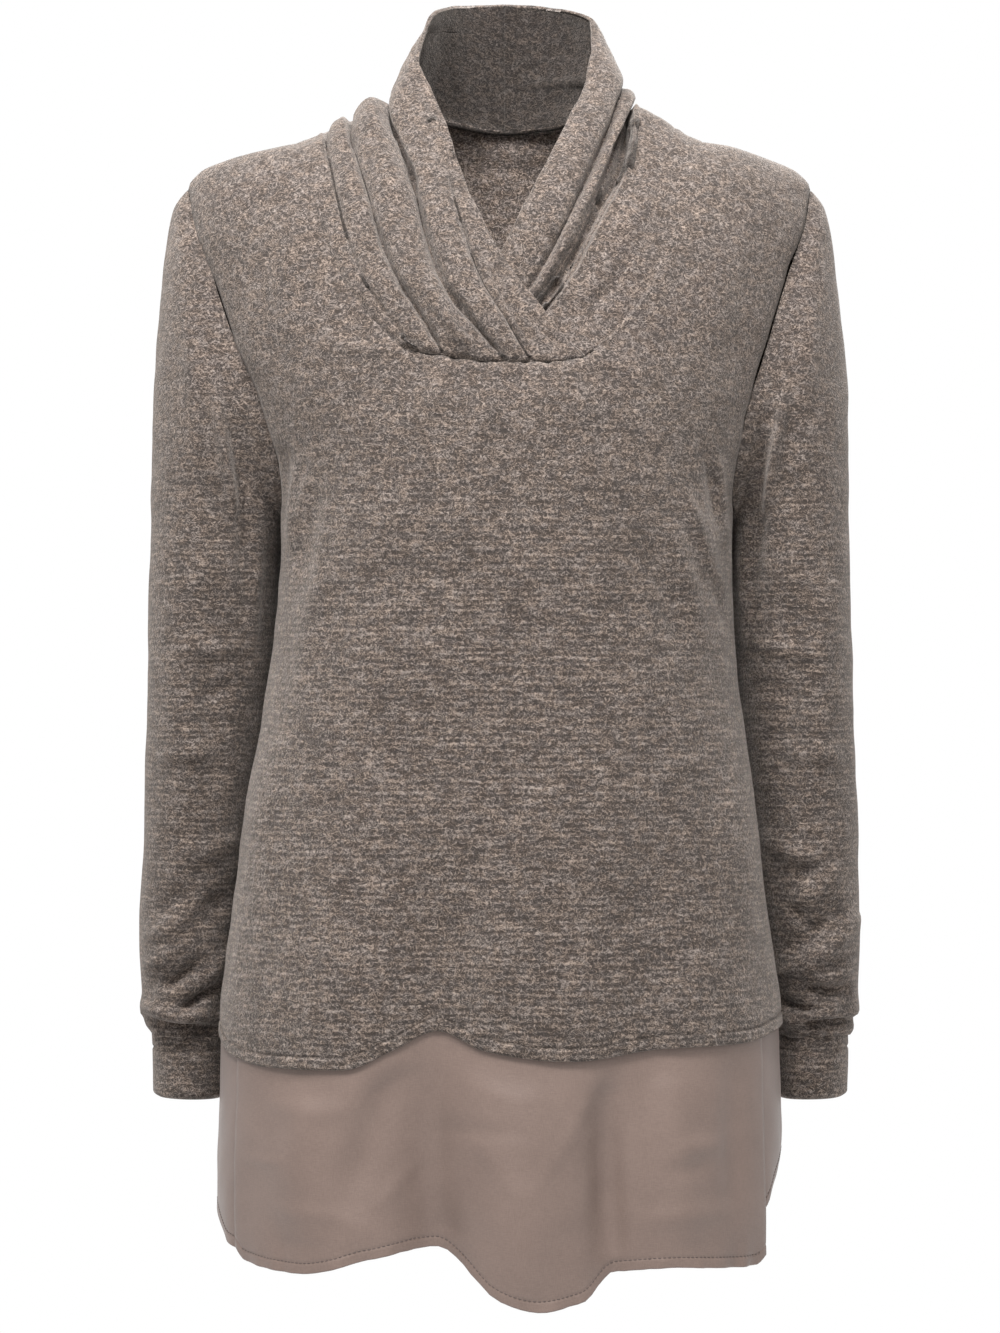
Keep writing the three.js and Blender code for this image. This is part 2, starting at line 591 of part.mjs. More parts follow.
// The collar's four boundaries
function collarCurves(collar) {
  const across = collar.side;
  const yoke = LOW_ROWS + UNDER_YOKE_ROWS;
  const columns = front[0].length - 1;
  const seamColumn = across < 0 ? SHOULDER_COLUMNS : columns - SHOULDER_COLUMNS;
  const opening = Array.from({ length: YOKE_ROWS + 1 }, (_, i) => front[yoke + i][seamColumn]);
  const chest = front[yoke].slice(SHOULDER_COLUMNS, SHOULDER_COLUMNS + OPENING_COLUMNS + 1);
  if (across > 0) chest.reverse();
  const top = back[back.length - 1];
  const nearest = across > 0 ? top : [...top].reverse();
  const neckStart = SHOULDER_COLUMNS + GATHER_COLUMNS;
  return {
    opening: (v) => between(opening, v * YOKE_ROWS).add(point(-across * SEAM_GAP, 0, SEAM_GAP)),
    chest: (c) => {
      const under = collar.layer * clamp(c / COLLAR_TUCK);
      return between(chest, c * collar.foot * OPENING_COLUMNS).add(point(0, under, SEAM_GAP));
    },
    shoulder: (q) => between(nearest, SHOULDER_COLUMNS + GATHER_COLUMNS * q)
      .add(point(-across * SEAM_GAP * (1 - q), -SEAM_GAP, 0)),
    neck: (v) => {
      const p = between(nearest, neckStart + (v - 1) * (NECK_COLUMNS / 2));
      return p.add(point((across * SEAM_GAP) / 2, v > 1 ? 0 : -SEAM_GAP, SEAM_GAP));
    },
    edge: (v) => point(...['x', 'y', 'z'].map((key) => read(collar.edge, 'share', key, v)))
      .add(point((across * SEAM_GAP) / 2, 0, 0)),
  };
}

// Where each crease lies at a height on the collar: 0 at the chest seam, 1 at the shoulder
function creaseShare(row, v) {
  const stops = [['chest', 0], ['low', 0.25], ['middle', 0.5], ['high', 0.75], ['shoulder', 1]];
  return read(stops.map(([key, at]) => ({ at, share: row[key] })), 'at', 'share', clamp(v));
}

// The collar's cloth before its folds: v runs from the chest seam (0) to the shoulder (1) and the centre back (2)
function collarBase(collar, curves, c, v) {
  const neckShare = collar.folds[collar.neckFold].shoulder;
  const stand = (share, at) => {
    const q = (share - neckShare) / (1 - neckShare);
    const p = curves.neck(at).lerp(curves.edge(at), q);
    const away = point(p.x - NECK_MIDDLE.x, p.y - NECK_MIDDLE.y, 0).normalize();
    return p.addScaledVector(away, collar.swell * 4 * q * (1 - q) * (1 - SWELL_LOSS * clamp(at - 1)));
  };
  const top = (share) => (share <= neckShare ? curves.shoulder(share / neckShare) : stand(share, 1));
  if (v >= 1) return v > 1 ? stand(c, v) : top(c);
  const foot = curves.chest;
  const fix = foot(1).sub(curves.edge(0));
  const edge = (at) => curves.edge(at).addScaledVector(fix, 1 - clamp(at / EDGE_FOOT));
  const p = foot(c).lerp(top(c), v);
  p.addScaledVector(curves.opening(v).sub(foot(0).lerp(top(0), v)), 1 - c);
  p.addScaledVector(edge(v).sub(foot(1).lerp(top(1), v)), c);
  p.y -= collar.bulge * 4 * c * (1 - c) * Math.sin(Math.PI * v);
  return p;
}

function collarGrid(collar) {
  const curves = collarCurves(collar);
  const lobes = collar.folds.length - 1;
  const columns = lobes * FOLD_STEPS.length;
  const start = collar.neckFold * FOLD_STEPS.length;
  const heights = [];
  const spread = Array.from({ length: COWL_ROWS + STAND_ROWS + 1 }, (_, i) => {
    const v = i <= COWL_ROWS ? i / COWL_ROWS : 1 + (i - COWL_ROWS) / STAND_ROWS;
    heights.push([]);
    return Array.from({ length: columns + 1 }, (_, j) => {
      const k = Math.min(lobes - 1, Math.floor(j / FOLD_STEPS.length));
      const t = j === columns ? 1 : FOLD_STEPS[j % FOLD_STEPS.length];
      const [from, to] = [creaseShare(collar.folds[k], v), creaseShare(collar.folds[k + 1], v)];
      const atTop = k < collar.neckFold ? clamp((1 - v) / LOBE_FALL) : 1 - STAND_SMOOTHING * clamp(v - 1);
      const settled = mix(collar.calm, 1, clamp(v / CALM_HEIGHT)) * clamp((to - from) / FULL_LOBE);
      const height = mix(collar.folds[k].height, collar.folds[k].puff, clamp((v - PUFF_START) / PUFF_LENGTH));
      const round = (4 * t * (1 - t)) ** LOBE_ROUNDING;
      heights[i].push(height * round * clamp(v / LOBE_RISE) * atTop * settled);
      const outside = v > 1 && j < start;
      return collarBase(collar, curves, outside ? creaseShare(collar.folds[collar.neckFold], 1) : mix(from, to, t), v);
    });
  });
  const isCloth = (i, j) => i < COWL_ROWS || j >= start;
  const out = normals(spread, isCloth, false);
  const flip = collar.side;
  const grid = spread.map((row, i) => row.map((p, j) => p.addScaledVector(out[i][j], -flip * heights[i][j])));
  return { grid: collar.side < 0 ? grid : grid.map((row) => [...row].reverse()), columns, start };
}

function collarWall(name, collar) {
  const { grid, columns, start } = collarGrid(collar);
  const fromOpening = (j) => (collar.side < 0 ? j : columns - j);
  const isCloth = (i, j) => i < COWL_ROWS || (collar.side < 0 ? j >= start : j < columns - start);
  return wall(name, knitLook(), grid, DOUBLED, { isCloth, lean: collarLean(collar, fromOpening) });
}

// The collar's sewn edges lean with the edges that they meet
function collarLean(collar, fromOpening) {
  const yoke = LOW_ROWS + UNDER_YOKE_ROWS;
  const seamColumn = collar.side < 0 ? SHOULDER_COLUMNS : SHOULDER_COLUMNS + OPENING_COLUMNS;
  const opening = Array.from({ length: YOKE_ROWS + 1 }, (_, i) => frontOut[yoke + i][seamColumn]);
  return (i, j, normal, p) => {
    if (i === COWL_ROWS && Math.abs(p.y) < 1) return point(normal.x, 0, normal.z).normalize();
    if (i === COWL_ROWS + STAND_ROWS) return point(0, normal.y, normal.z).normalize();
    if (fromOpening(j) === 0) return between(opening, (i / COWL_ROWS) * YOKE_ROWS).normalize();
    if (i === 0) return point(0, normal.y, 0).normalize();
    return normal;
  };
}

// The ring of hem band places that a tail hangs from: one panel's columns, run on round the sides by the other's
function hemRing(side, wrap) {
  const columns = (grid, out, face) => grid[0].map((_, j) => ({
    face,
    degrees: face * (90 - (180 * j) / (grid[0].length - 1)),
    places: [0, 1].map((row) => ({ at: grid[row][j], out: out[row][j] })),
  }));
  const panels = [columns(front, frontOut, -1), columns(back, backOut, 1)];
  const [own, next] = side < 0 ? panels : panels.reverse();
  return [...next.slice(-1 - wrap, -1), ...own, ...next.slice(1, 1 + wrap)];
}

// A woven tail below the knit hem. Where it wraps round the sides it lies inside the other tail
function tailGrid(side, { inset, wrap }, hem, folds) {
  const ring = hemRing(side, wrap);
  const last = ring.length - 1;
  const sewn = [1, 0].map((row) => ring.map(({ places }, j) => {
    const under = clamp(Math.max(wrap - j, j - last + wrap));
    const depthIn = KNIT + SEAM_GAP + under * (WOVEN + SEAM_GAP);
    return places[row].at.clone().addScaledVector(places[row].out, -depthIn);
  }));
  const steps = Math.round(TAIL_COLUMNS_EACH * (last - 2 * inset));
  const rows = Array.from({ length: TAIL_ROWS }, (_, i) => Array.from({ length: steps + 1 }, (_, j) => {
    const at = mix(inset, last - inset, j / steps);
    if (i < TAIL_SEAM_ROWS) return between(sewn[i], at);
    const start = between(sewn[1], at);
    const drop = (i - TAIL_SEAM_ROWS + 1) / (TAIL_ROWS - TAIL_SEAM_ROWS);
    const k = Math.min(last - 1, Math.floor(at));
    const degrees = mix(ring[k].degrees, ring[k + 1].degrees, at - k);
    const { face } = ring[Math.round(at)];
    const z = mix(start.z, read(hem, 'x', 'z', start.x), drop);
    const x = bodyX(degrees, z) + (start.x - bodyX(degrees, start.z));
    const y = start.y + (bodyY(x, z, face) - bodyY(start.x, start.z, face)) * TAIL_FOLLOWS_BODY;
    return point(x, y + (face === side ? side * lifted(folds, x, z) : 0), z);
  }));
  return rows.reverse();
}

const front = frontGrid();
const back = backGrid();
const frontOut = normals(front, isFront, false);
const backOut = normals(back, () => true, false);

// The body's normal at an armhole seam
function bodyNormal(across, side, row) {
  const i = LOW_ROWS + row;
  if (side < 0) return frontOut[i][across < 0 ? 0 : front[0].length - 1];
  return backOut[i][across > 0 ? 0 : back[0].length - 1];
}

const garment = new THREE.Group();
garment.add(wall('front', knitLook(), front, KNIT, { isCloth: isFront, lean: seamLean }));
garment.add(wall('back', knitLook(), back, KNIT, { lean: seamLean }));
for (const [name, across] of [['right', -1], ['left', 1]]) {
  const lean = sleeveLean(across, bodyNormal);
  garment.add(wall(`sleeve_${name}`, knitLook(), sleeveGrid(across), KNIT, { round: true, lean }));
  garment.add(wall(`cuff_${name}`, knitLook(), cuffGrid(across), KNIT, { round: true }));
  garment.add(collarWall(`cowl_${name}`, COLLARS[name]));
}
garment.add(wall('hem_front', wovenLook(), tailGrid(-1, FRONT_TAIL, FRONT_TAIL_HEM, FRONT_TAIL_FOLDS), WOVEN));
garment.add(wall('hem_back', wovenLook(), tailGrid(1, BACK_TAIL, BACK_TAIL_HEM, BACK_TAIL_FOLDS), WOVEN));

export default garment;
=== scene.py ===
import math

import bpy
import numpy as np
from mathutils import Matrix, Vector, noise


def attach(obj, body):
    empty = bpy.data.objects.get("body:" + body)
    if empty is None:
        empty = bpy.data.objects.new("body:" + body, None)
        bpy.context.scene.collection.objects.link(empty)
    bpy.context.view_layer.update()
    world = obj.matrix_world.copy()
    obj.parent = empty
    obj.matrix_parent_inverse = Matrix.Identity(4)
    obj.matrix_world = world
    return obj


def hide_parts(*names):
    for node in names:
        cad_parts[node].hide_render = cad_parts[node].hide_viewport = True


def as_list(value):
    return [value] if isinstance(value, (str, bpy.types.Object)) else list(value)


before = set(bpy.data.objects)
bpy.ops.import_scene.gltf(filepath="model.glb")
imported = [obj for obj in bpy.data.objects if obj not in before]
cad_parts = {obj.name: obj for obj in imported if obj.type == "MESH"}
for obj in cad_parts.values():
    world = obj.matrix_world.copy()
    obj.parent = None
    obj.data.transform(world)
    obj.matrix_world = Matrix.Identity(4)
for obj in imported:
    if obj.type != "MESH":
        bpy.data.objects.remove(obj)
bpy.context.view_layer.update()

# The garment's sizes are in millimetres until a mesh is made, +Z up, the wearer facing -Y.
MM = 0.001

# Cloth
KNIT = 1.8
DOUBLED = 3.0
WOVEN = 1.0
SEAM_GAP = 0.06
LIP = 0.12
EDGE_LIP = 0.5
NECK_LIP = 0.9

# Where the seams lie, how far the collar tucks under, and each tail's inset and wrap in coarse columns
UNDERARM = -255
SHOULDER_POINT = -40
ARMHOLE_REACH = 22
SEAM_TIP = 134
SHOULDER_HALF = 209
NECK_MIDDLE = (3, 22)
NECK_TOP = 16
COLLAR_TUCK = 0.045
HEM_LEVEL = -600
BACK_HEM_RISE = 2
FRONT_TAIL = dict(inset=3, wrap=0)
BACK_TAIL = dict(inset=0.5, wrap=4)

# How curves round off, and over which shares of a length a form fades in or out
ARMHOLE_ROUNDING = 0.8
LOBE_ROUNDING = 0.6
LOBE_RISE = 0.1
LOBE_FALL = 0.03
STAND_SMOOTHING = 1
CALM_HEIGHT = 0.4
FREE_EDGE = 0.6
PUFF_START = 0.55
PUFF_LENGTH = 0.4
EDGE_FOOT = 0.15
SWELL_LOSS = 1
TAIL_FOLLOWS_BODY = 0.3
TAIL_START = -0.08
TAIL_FOLD_START = 0.17
SLEEVE_SPACING = 0.72
SLEEVE_FADE = 0.22

# Depths where folds and the collar's small creases are whole, the sleeve's tuck, and the cuff's size
FOLD_FADE_DEPTH = 60
COLLAR_FACING = 30
SLEEVE_SEAM_TUCK = 0.18
CUFF_HEIGHT = 42
CUFF_TAPER = 0.033
CUFF_START_TAPER = 0.017

# The coarse layout of columns and rows that the solids have, and how many times finer the cloth is here
LOW_ROWS = 9
UNDER_YOKE_ROWS = 6
YOKE_ROWS = 7
ARMHOLE_ROWS = UNDER_YOKE_ROWS + YOKE_ROWS
SHOULDER_COLUMNS = 6
OPENING_COLUMNS = 10
GATHER_COLUMNS = 4
NECK_COLUMNS = 8
FINE = 6
LOW_FINE = 10
HEM_ZONE = 12
HEM_FINE = 20
SLEEVE_RINGS = 240
SLEEVE_FINE = 5
CUFF_ROWS = 64
TAIL_ROWS = 44
TAIL_ZONE = 0.07
TAIL_FINE = 18
COWL_ROWS = 110
STAND_ROWS = 70
LOBE_STEPS = 16

# The rows below the underarm, and the shares of the width and of the armhole at the opening's lower corners
LOW_COUNT = HEM_FINE + LOW_ROWS * LOW_FINE
CORNER = SHOULDER_COLUMNS / (2 * SHOULDER_COLUMNS + OPENING_COLUMNS)
SPLIT = UNDER_YOKE_ROWS / ARMHOLE_ROWS

# Sewn edges: where the stitches lie, how deep and wide they draw in, and how the cloth swells and rounds off
KNIT_TURN = 7
WOVEN_TURN = 6.5
CUFF_TURN = 8.5
TURN_DEPTH = 0.7
TURN_WIDTH = 1.1
TURN_SWELL = 0.5
WOVEN_TURN_SHARE = 0.3
CUFF_SEWING = 1.2
CUFF_ROUND = 4

# Grooves at the seams, the gathered chest seam and its puff, and the creases between the collar's folds
SEAM_DEPTH = 0.4
SEAM_WIDTH = 1.4
CHEST_DEPTH = 2
CHEST_WIDTH = 2.4
CHEST_PUFF = 2
CHEST_PUFF_AT = 7
CREASE_DEPTH = 3.2
CREASE_WIDTH = 1.9
CREASE_START = 0.08
CREASE_ROOM = 8

# The slight slope of the shoulders' ends: its place, its width across and up, and its drop
SLOPE_AT = (188, -22)
SLOPE_WIDE = (26, 20)
SLOPE_DROP = 3

# The piping on the back neck seam, whose dark colour is painted shadow of the seam's fold, and how far in
# from the seam it lies
PIPING_RADIUS = 1.7
PIPING_IN = 2.1
PIPING_SIDES = 10

# Rings and rows near a seam without creases, those whose normals are averaged, and how near a seam leans
SLEEVE_CALM_RINGS = 14
TAIL_CALM_ROWS = 8
TAIL_SEWN_ROWS = 4
STEADY_RINGS = 12
STEADY_STEP = 8
LEAN_REACH = 1

# Rows of stitches, and a stitch's shape: the share of its length, its rise, and the share of its width
STITCH_LENGTH = 2.4
STITCH_SPACE = 0.8
STITCH_WIDTH = 0.26
STITCH_MARGIN = 2
STITCH_SHAPE = ((0, -0.15, 0.5), (0.25, 0.22, 1), (0.75, 0.22, 1), (1, -0.15, 0.5))

# Gathers along seams: their height and size, how far they reach from the seam, and their seed
GATHERS = {
    "front_chest": (1.6, 5, 12, 31),
    "front_arm_left": (0.8, 5, 8, 32),
    "front_arm_right": (0.8, 5, 8, 33),
    "sleeve_end": (3, 6, 14, 40),
    "cuff_top": (1.2, 4, 6, 50),
    "collar_chest": (2.2, 7, 14, 60),
    "collar_shoulder": (1.4, 6, 10, 62),
    "tail_hem": (2.6, 7, 8, 70),
}
GATHER_STRETCH = 6

# The cloth's soft unevenness: the height, size and seed of its waves
KNIT_WAVES = ((1.6, 68, 1), (0.8, 22, 2))
COLLAR_WAVES = ((0.7, 12, 3),)
TAIL_WAVES = ((1, 50, 20), (0.5, 20, 23))
SEED_STEP = 17.3

# How finely curves are followed, and what counts as far and as nothing
RIDGE_STEPS = 30
CREASE_STEPS = 25
CREASE_FADE = 0.7
SEAM_BLOCK = 64
FAR = 1e9
TINY = 1e-9


def table(columns, rows):
    return dict(zip(columns, np.array(rows, float).T))


# Level sections of the body from the neck down: half its width, middle, depth each way and squareness
BODY = table(("level", "half", "middle", "front", "back", "square"), [
    (16, 72, 3, 28, 50, 2),
    (8, 97, 2, 40, 60, 2),
    (-8, 134, 0, 56, 70, 2),
    (-13.3, 158, 0, 62, 74, 2),
    (-18.7, 182, 0, 67, 78, 2),
    (-28, 201, 0, 74, 83, 2.05),
    (-40, 208.5, 0, 81, 88, 2.1),
    (-60, 209, 0, 90, 95, 2.15),
    (-100, 200, 0, 103, 103, 2.25),
    (-145, 186, 1, 113, 106, 2.35),
    (-200, 164, 4, 122, 105, 2.35),
    (-255, 150.5, 5, 122, 101, 2.35),
    (-330, 152.5, 3, 117, 94, 2.3),
    (-400, 161.5, 1.5, 115, 95, 2.3),
    (-500, 175, 0, 119, 102, 2.3),
    (-600, 187.5, 0, 124, 108, 2.3),
    (-700, 190, 0, 125, 110, 2.3),
    (-800, 190, 0, 125, 110, 2.3),
])

# The knit hem's height across the front, and the woven tails'
KNIT_HEM = table(("x", "z"), [
    (-188, -599), (-179, -610), (-150, -616), (-100, -615), (-70, -603), (-40, -590), (-10, -602),
    (45, -609), (108, -602), (160, -601), (188, -594),
])
FRONT_TAIL_HEM = table(("x", "z"), [
    (-174, -733), (-165, -744), (-129, -747), (-80, -736), (-40, -730), (-22, -742), (-2, -761),
    (25, -768), (52, -763), (72, -746), (110, -743), (165, -747), (174, -738),
])
BACK_TAIL_HEM = table(("x", "z"), [
    (-188, -712), (-176, -735), (-120, -748), (-60, -742), (0, -752), (70, -746), (130, -746),
    (164, -722), (178, -697), (188, -678),
])

# The front's U-shaped opening: its sides from the chest up to the shoulder seam, and the gathered seam below
OPENING_SIDE = table(("share", "x", "z"), [
    (0, 62, -154), (0.2, 84, -132), (0.37, 101, -109), (0.53, 113, -82), (0.7, 123, -53),
    (0.85, 129, -29), (1, SEAM_TIP, -8),
])
CHEST_SEAM = table(("share", "x", "z"), [
    (0, -62, -154), (0.15, -45, -157.5), (0.32, -24, -161), (0.5, 0, -163), (0.72, 28, -163),
    (0.92, 53, -160), (1, 62, -154),
])
BACK_NECK = table(("share", "x", "y", "z"), [
    (0, -69, 0, 16), (0.25, -48, 38, 12), (0.5, 3, 60, 5.5), (0.75, 58, 38, 10), (1, 82, 0, 13),
])

# The collar's free edge: the chest seam is at share 0, the side of the neck at 1 and the centre back at 2
EDGE_RIGHT = table(("share", "x", "y", "z"), [
    (0, 58, -115, -158), (0.09, 40, -113, -140), (0.18, 22, -108.5, -120), (0.32, 0, -98, -90),
    (0.48, -19, -80, -52), (0.69, -35, -52, -1), (0.79, -44, -35, 20), (0.9, -54, -15, 46),
    (1, -51, 3, 65), (1.25, -45, 24, 83), (1.5, -33, 47, 89), (1.75, -16, 60, 91), (2, 3, 64, 92),
])
EDGE_LEFT = table(("share", "x", "y", "z"), [
    (0, -52, -108, -156), (0.1, -34, -103, -138), (0.2, -18, -98, -118), (0.33, 0, -91, -90),
    (0.48, 16, -84, -58), (0.62, 32, -68, -25), (0.75, 44, -50, 0), (0.89, 55, -25, 27),
    (1, 61, 3, 54), (1.25, 62, 28, 76), (1.5, 46, 48, 87), (1.75, 25, 60, 91), (2, 3, 64, 92),
])

# The collar's creases, as shares of the way to its free edge, and the height and puff of the fold after each
FOLD_COLUMNS = ("chest", "low", "middle", "high", "shoulder", "height", "puff")
FOLDS_RIGHT = table(FOLD_COLUMNS, [
    (0, 0, 0, 0, 0, 2, 1),
    (0.09, 0.13, 0.15, 0.18, 0.2, 5, 6),
    (0.25, 0.34, 0.36, 0.37, 0.37, 9, 14),
    (0.58, 0.59, 0.65, 0.68, 0.68, 6, 5),
    (0.72, 0.8, 0.9, 0.93, 0.93, 2, 1),
    (1, 1, 1, 1, 1, 0, 0),
])
FOLDS_LEFT = table(FOLD_COLUMNS, [
    (0, 0, 0, 0, 0, 2, 1),
    (0.3, 0.25, 0.22, 0.2, 0.2, 5, 5),
    (0.53, 0.49, 0.44, 0.4, 0.46, 6, 9),
    (0.6, 0.56, 0.51, 0.465, 0.52, -5, -12),
    (0.64, 0.63, 0.6, 0.56, 0.56, 6, 8),
    (0.74, 0.73, 0.72, 0.72, 0.72, 6, 6),
    (1, 1, 1, 1, 1, 0, 0),
])
# How deep each crease draws in at the same places: 0 not at all, 1 to the foot of the folds beside it
DEPTH_COLUMNS = FOLD_COLUMNS[:5]
DEPTHS_RIGHT = table(DEPTH_COLUMNS, [
    (0, 0, 0, 0, 0),
    (0.2, 0.4, 0.6, 0.9, 1),
    (1, 1, 1, 1.05, 1),
    (1, 1.1, 1.2, 1.4, 1),
    (1, 1.1, 0.6, 0, 0),
    (1, 1, 1, 1, 1),
])
DEPTHS_LEFT = table(DEPTH_COLUMNS, [
    (0, 0, 0, 0, 0),
    (0, 0.1, 0.1, 0.1, 0.2),
    (0, 0, 0, 0, 0),
    (0.2, 0.2, 0, 0, 0),
    (0.2, 0.5, 0, 0, 0),
    (0.3, 0.6, 0.9, 1, 0.8),
    (1, 1, 1, 1, 1),
])
COLLARS = {
    "right": dict(side=-1, folds=FOLDS_RIGHT, depths=DEPTHS_RIGHT, edge=EDGE_RIGHT, neck_fold=3, foot=0.92,
                  layer=0, bulge=6, swell=1, calm=0.85),
    "left": dict(side=1, folds=FOLDS_LEFT, depths=DEPTHS_LEFT, edge=EDGE_LEFT, neck_fold=4, foot=0.92,
                 layer=DOUBLED + SEAM_GAP, bulge=-3, swell=6, calm=0),
}

# Rings of a sleeve from the shoulder down: its outer edge, its inner edge from the body's side, its depth
SLEEVE = table(("share", "outer", "outer_level", "outer_y", "gap", "inner_level", "inner_y", "depth"), [
    (0, 208.8, -40, 0, 0.3, -255, 0, 50),
    (0.06, 217.5, -54, 0, 0.6, -258, 5, 55),
    (0.13, 223, -84, 0, 0, -262, 11, 57),
    (0.2, 227, -118, 1, -0.6, -268, 16, 58),
    (0.28, 230, -160, 2, -0.9, -279, 21, 58),
    (0.38, 232, -215, 5, -0.9, -298, 26, 56),
    (0.5, 234, -290, 10, -0.5, -330, 30, 52),
    (0.64, 237, -385, 22, -1.5, -400, 34, 48),
    (0.78, 241, -475, 33, -3, -482, 39, 44),
    (0.88, 243.5, -540, 41, -5, -543, 43, 41),
    (0.93, 242, -575, 44, -5, -576, 44, 39),
    (0.96, 243.5, -591, 45, -5.5, -592, 45, 39),
    (1, 236, -606, 45, -3, -607, 45, 31),
])

# Long soft folds: both ends, width and height. An open one runs off the hem, the others fade at both ends.
FOLD_LINE = ("from_x", "from_z", "to_x", "to_z", "width", "lift", "open")
FRONT_FOLDS = table(FOLD_LINE, [
    (-40, -590, -62, -440, 26, -9, 1),
    (2, -603, -6, -470, 24, 4, 1),
    (-105, -616, -110, -470, 34, 5, 1),
    (90, -603, 104, -420, 26, -4, 1),
    (128, -240, 146, -330, 9, 4, 0),
])
BACK_FOLDS = table(FOLD_LINE, [
    (-60, -605, -40, -430, 30, -7, 1),
    (55, -605, 38, -440, 28, -6, 1),
])
FRONT_TAIL_FOLDS = table(FOLD_LINE, [
    (-40, -750, -44, -590, 22, -12, 1),
    (22, -770, 4, -600, 26, 9, 1),
    (72, -750, 60, -610, 14, -10, 1),
    (118, -750, 112, -620, 26, 5, 1),
    (-128, -750, -120, -620, 30, 6, 1),
])
BACK_TAIL_FOLDS = table(FOLD_LINE, [
    (-62, -755, -56, -600, 24, -9, 1),
    (4, -760, 0, -600, 26, 7, 1),
    (66, -755, 56, -600, 20, -9, 1),
])

# Small creases, faded at both ends: the ends, a point between them that bends the line, the width and height
CREASE = ("x1", "z1", "x2", "z2", "x3", "z3", "width", "lift")
FRONT_CREASES = table(CREASE, [
    (117, -243, 131, -276, 143, -309, 4, 5.1),
    (126, -262, 138, -294, 149, -336, 4, -3.4),
    (140, -220, 147, -259, 147, -280, 3.5, 4.42),
    (133, -214, 139, -246, 141, -268, 4, -2.72),
    (108, -262, 122, -300, 135, -352, 7, 3.74),
    (96, -276, 108, -312, 120, -350, 8, -2.38),
    (147, -238, 149, -260, 146, -284, 3.5, -1.4),
    (-146, -256, -147, -280, -143, -304, 4, -0.8),
    (-133, -222, -134, -254, -135, -284, 4, 4.42),
    (-125, -230, -127, -250, -130, -266, 3.5, 3.06),
    (-140, -214, -141, -244, -143, -270, 5, -3.06),
    (-118, -240, -126, -282, -132, -320, 7, -3.06),
    (-112, -290, -124, -330, -134, -384, 8, 3.06),
    (-144, -226, -145, -247, -146, -270, 6, 2.4),
    (-56, -346, -52, -410, -58, -470, 16, -3.4),
    (-1, -503, -1, -548, 0, -592, 12, 4.08),
    (-24, -470, -26, -530, -22, -588, 14, -4.08),
    (60, -380, 74, -440, 82, -520, 20, 2.72),
    (-104, -151, -84, -157, -58, -153, 4, 3.4),
    (66, -158, 84, -170, 106, -178, 7, 2.72),
    (-38, -168, -42, -188, -52, -214, 6, 2.38),
    (-8, -170, -8, -190, -12, -216, 6, 1.87),
    (20, -172, 24, -190, 22, -214, 6, 2.04),
    (42, -168, 50, -186, 58, -206, 6, 2.04),
    (-128, -60, -140, -100, -146, -150, 14, 2.72),
    (132, -60, 144, -100, 150, -150, 14, 2.72),
    (-158, -90, -150, -130, -140, -180, 9, -2.72),
    (164, -90, 158, -130, 148, -180, 9, -2.72),
    (-20, -270, 30, -262, 86, -270, 16, -1.7),
    (-90, -300, -40, -292, 10, -298, 16, -1.7),
    (-60, -560, -46, -572, -30, -580, 10, 2.38),
    (150, -400, 158, -470, 166, -540, 12, 3.06),
    (-150, -400, -156, -470, -164, -540, 12, 3.06),
])
BACK_CREASES = table(CREASE, [
    (-120, -240, -132, -290, -140, -340, 7, 2.88),
    (122, -236, 134, -288, 142, -338, 7, 2.88),
    (-128, -150, -110, -200, -86, -236, 10, 2.08),
    (130, -146, 112, -198, 90, -240, 10, 2.08),
    (-70, -300, -20, -312, 40, -306, 14, 2.08),
    (-30, -340, 20, -350, 80, -340, 14, -1.92),
    (-60, -60, -40, -110, -34, -170, 14, 1.92),
    (66, -62, 48, -112, 40, -168, 14, 1.92),
    (-96, -400, -90, -480, -98, -560, 18, 2.24),
    (100, -390, 94, -470, 104, -560, 18, 2.24),
    (0, -420, 4, -500, 0, -590, 16, 2.24),
    (-20, -20, 5, -30, 34, -22, 9, -1.6),
])
SLEEVE_CREASES = table(CREASE, [
    (188, -166, 181, -222, 172, -262, 4, 6.8),
    (172, -190, 171, -250, 166, -310, 6, -5.1),
    (198, -176, 190, -226, 184, -290, 8, -3.4),
    (206, -112, 199, -180, 193, -246, 8, 4.08),
    (160, -262, 162, -300, 166, -352, 4, 4.08),
    (196, -300, 188, -380, 186, -470, 12, -5.1),
    (214, -300, 210, -380, 212, -460, 12, 3.4),
    (166, -340, 190, -354, 214, -344, 6, 3.4),
    (168, -366, 186, -378, 206, -382, 6, -3.06),
    (184, -420, 204, -410, 228, -420, 6, 3.74),
    (176, -470, 196, -488, 222, -484, 6, 3.4),
    (184, -508, 200, -524, 216, -542, 6, -3.4),
    (151, -232, 149, -257, 151, -284, 7, 2.5),
])
CUFF_RIGHT_CREASES = table(CREASE, [
    (-243, -593, -219, -602, -188, -601, 3.2, -9.5),
    (-244, -584, -222, -592, -200, -590, 5, 4),
    (-238, -584, -214, -594, -194, -592, 4, 5),
    (-226, -571, -214, -567, -200, -556, 3.6, -8),
    (-232, -578, -216, -577, -204, -570, 4, 4),
    (-219, -592, -202, -581, -186, -571, 3.2, -8),
    (-240, -560, -226, -556, -212, -543, 5, 5),
    (-200, -568, -190, -561, -180, -548, 5, 4.5),
    (-240, -540, -222, -536, -204, -520, 7, 4),
    (-236, -524, -218, -518, -200, -500, 7, -3),
    (-198, -532, -188, -520, -180, -500, 7, -3.4),
])
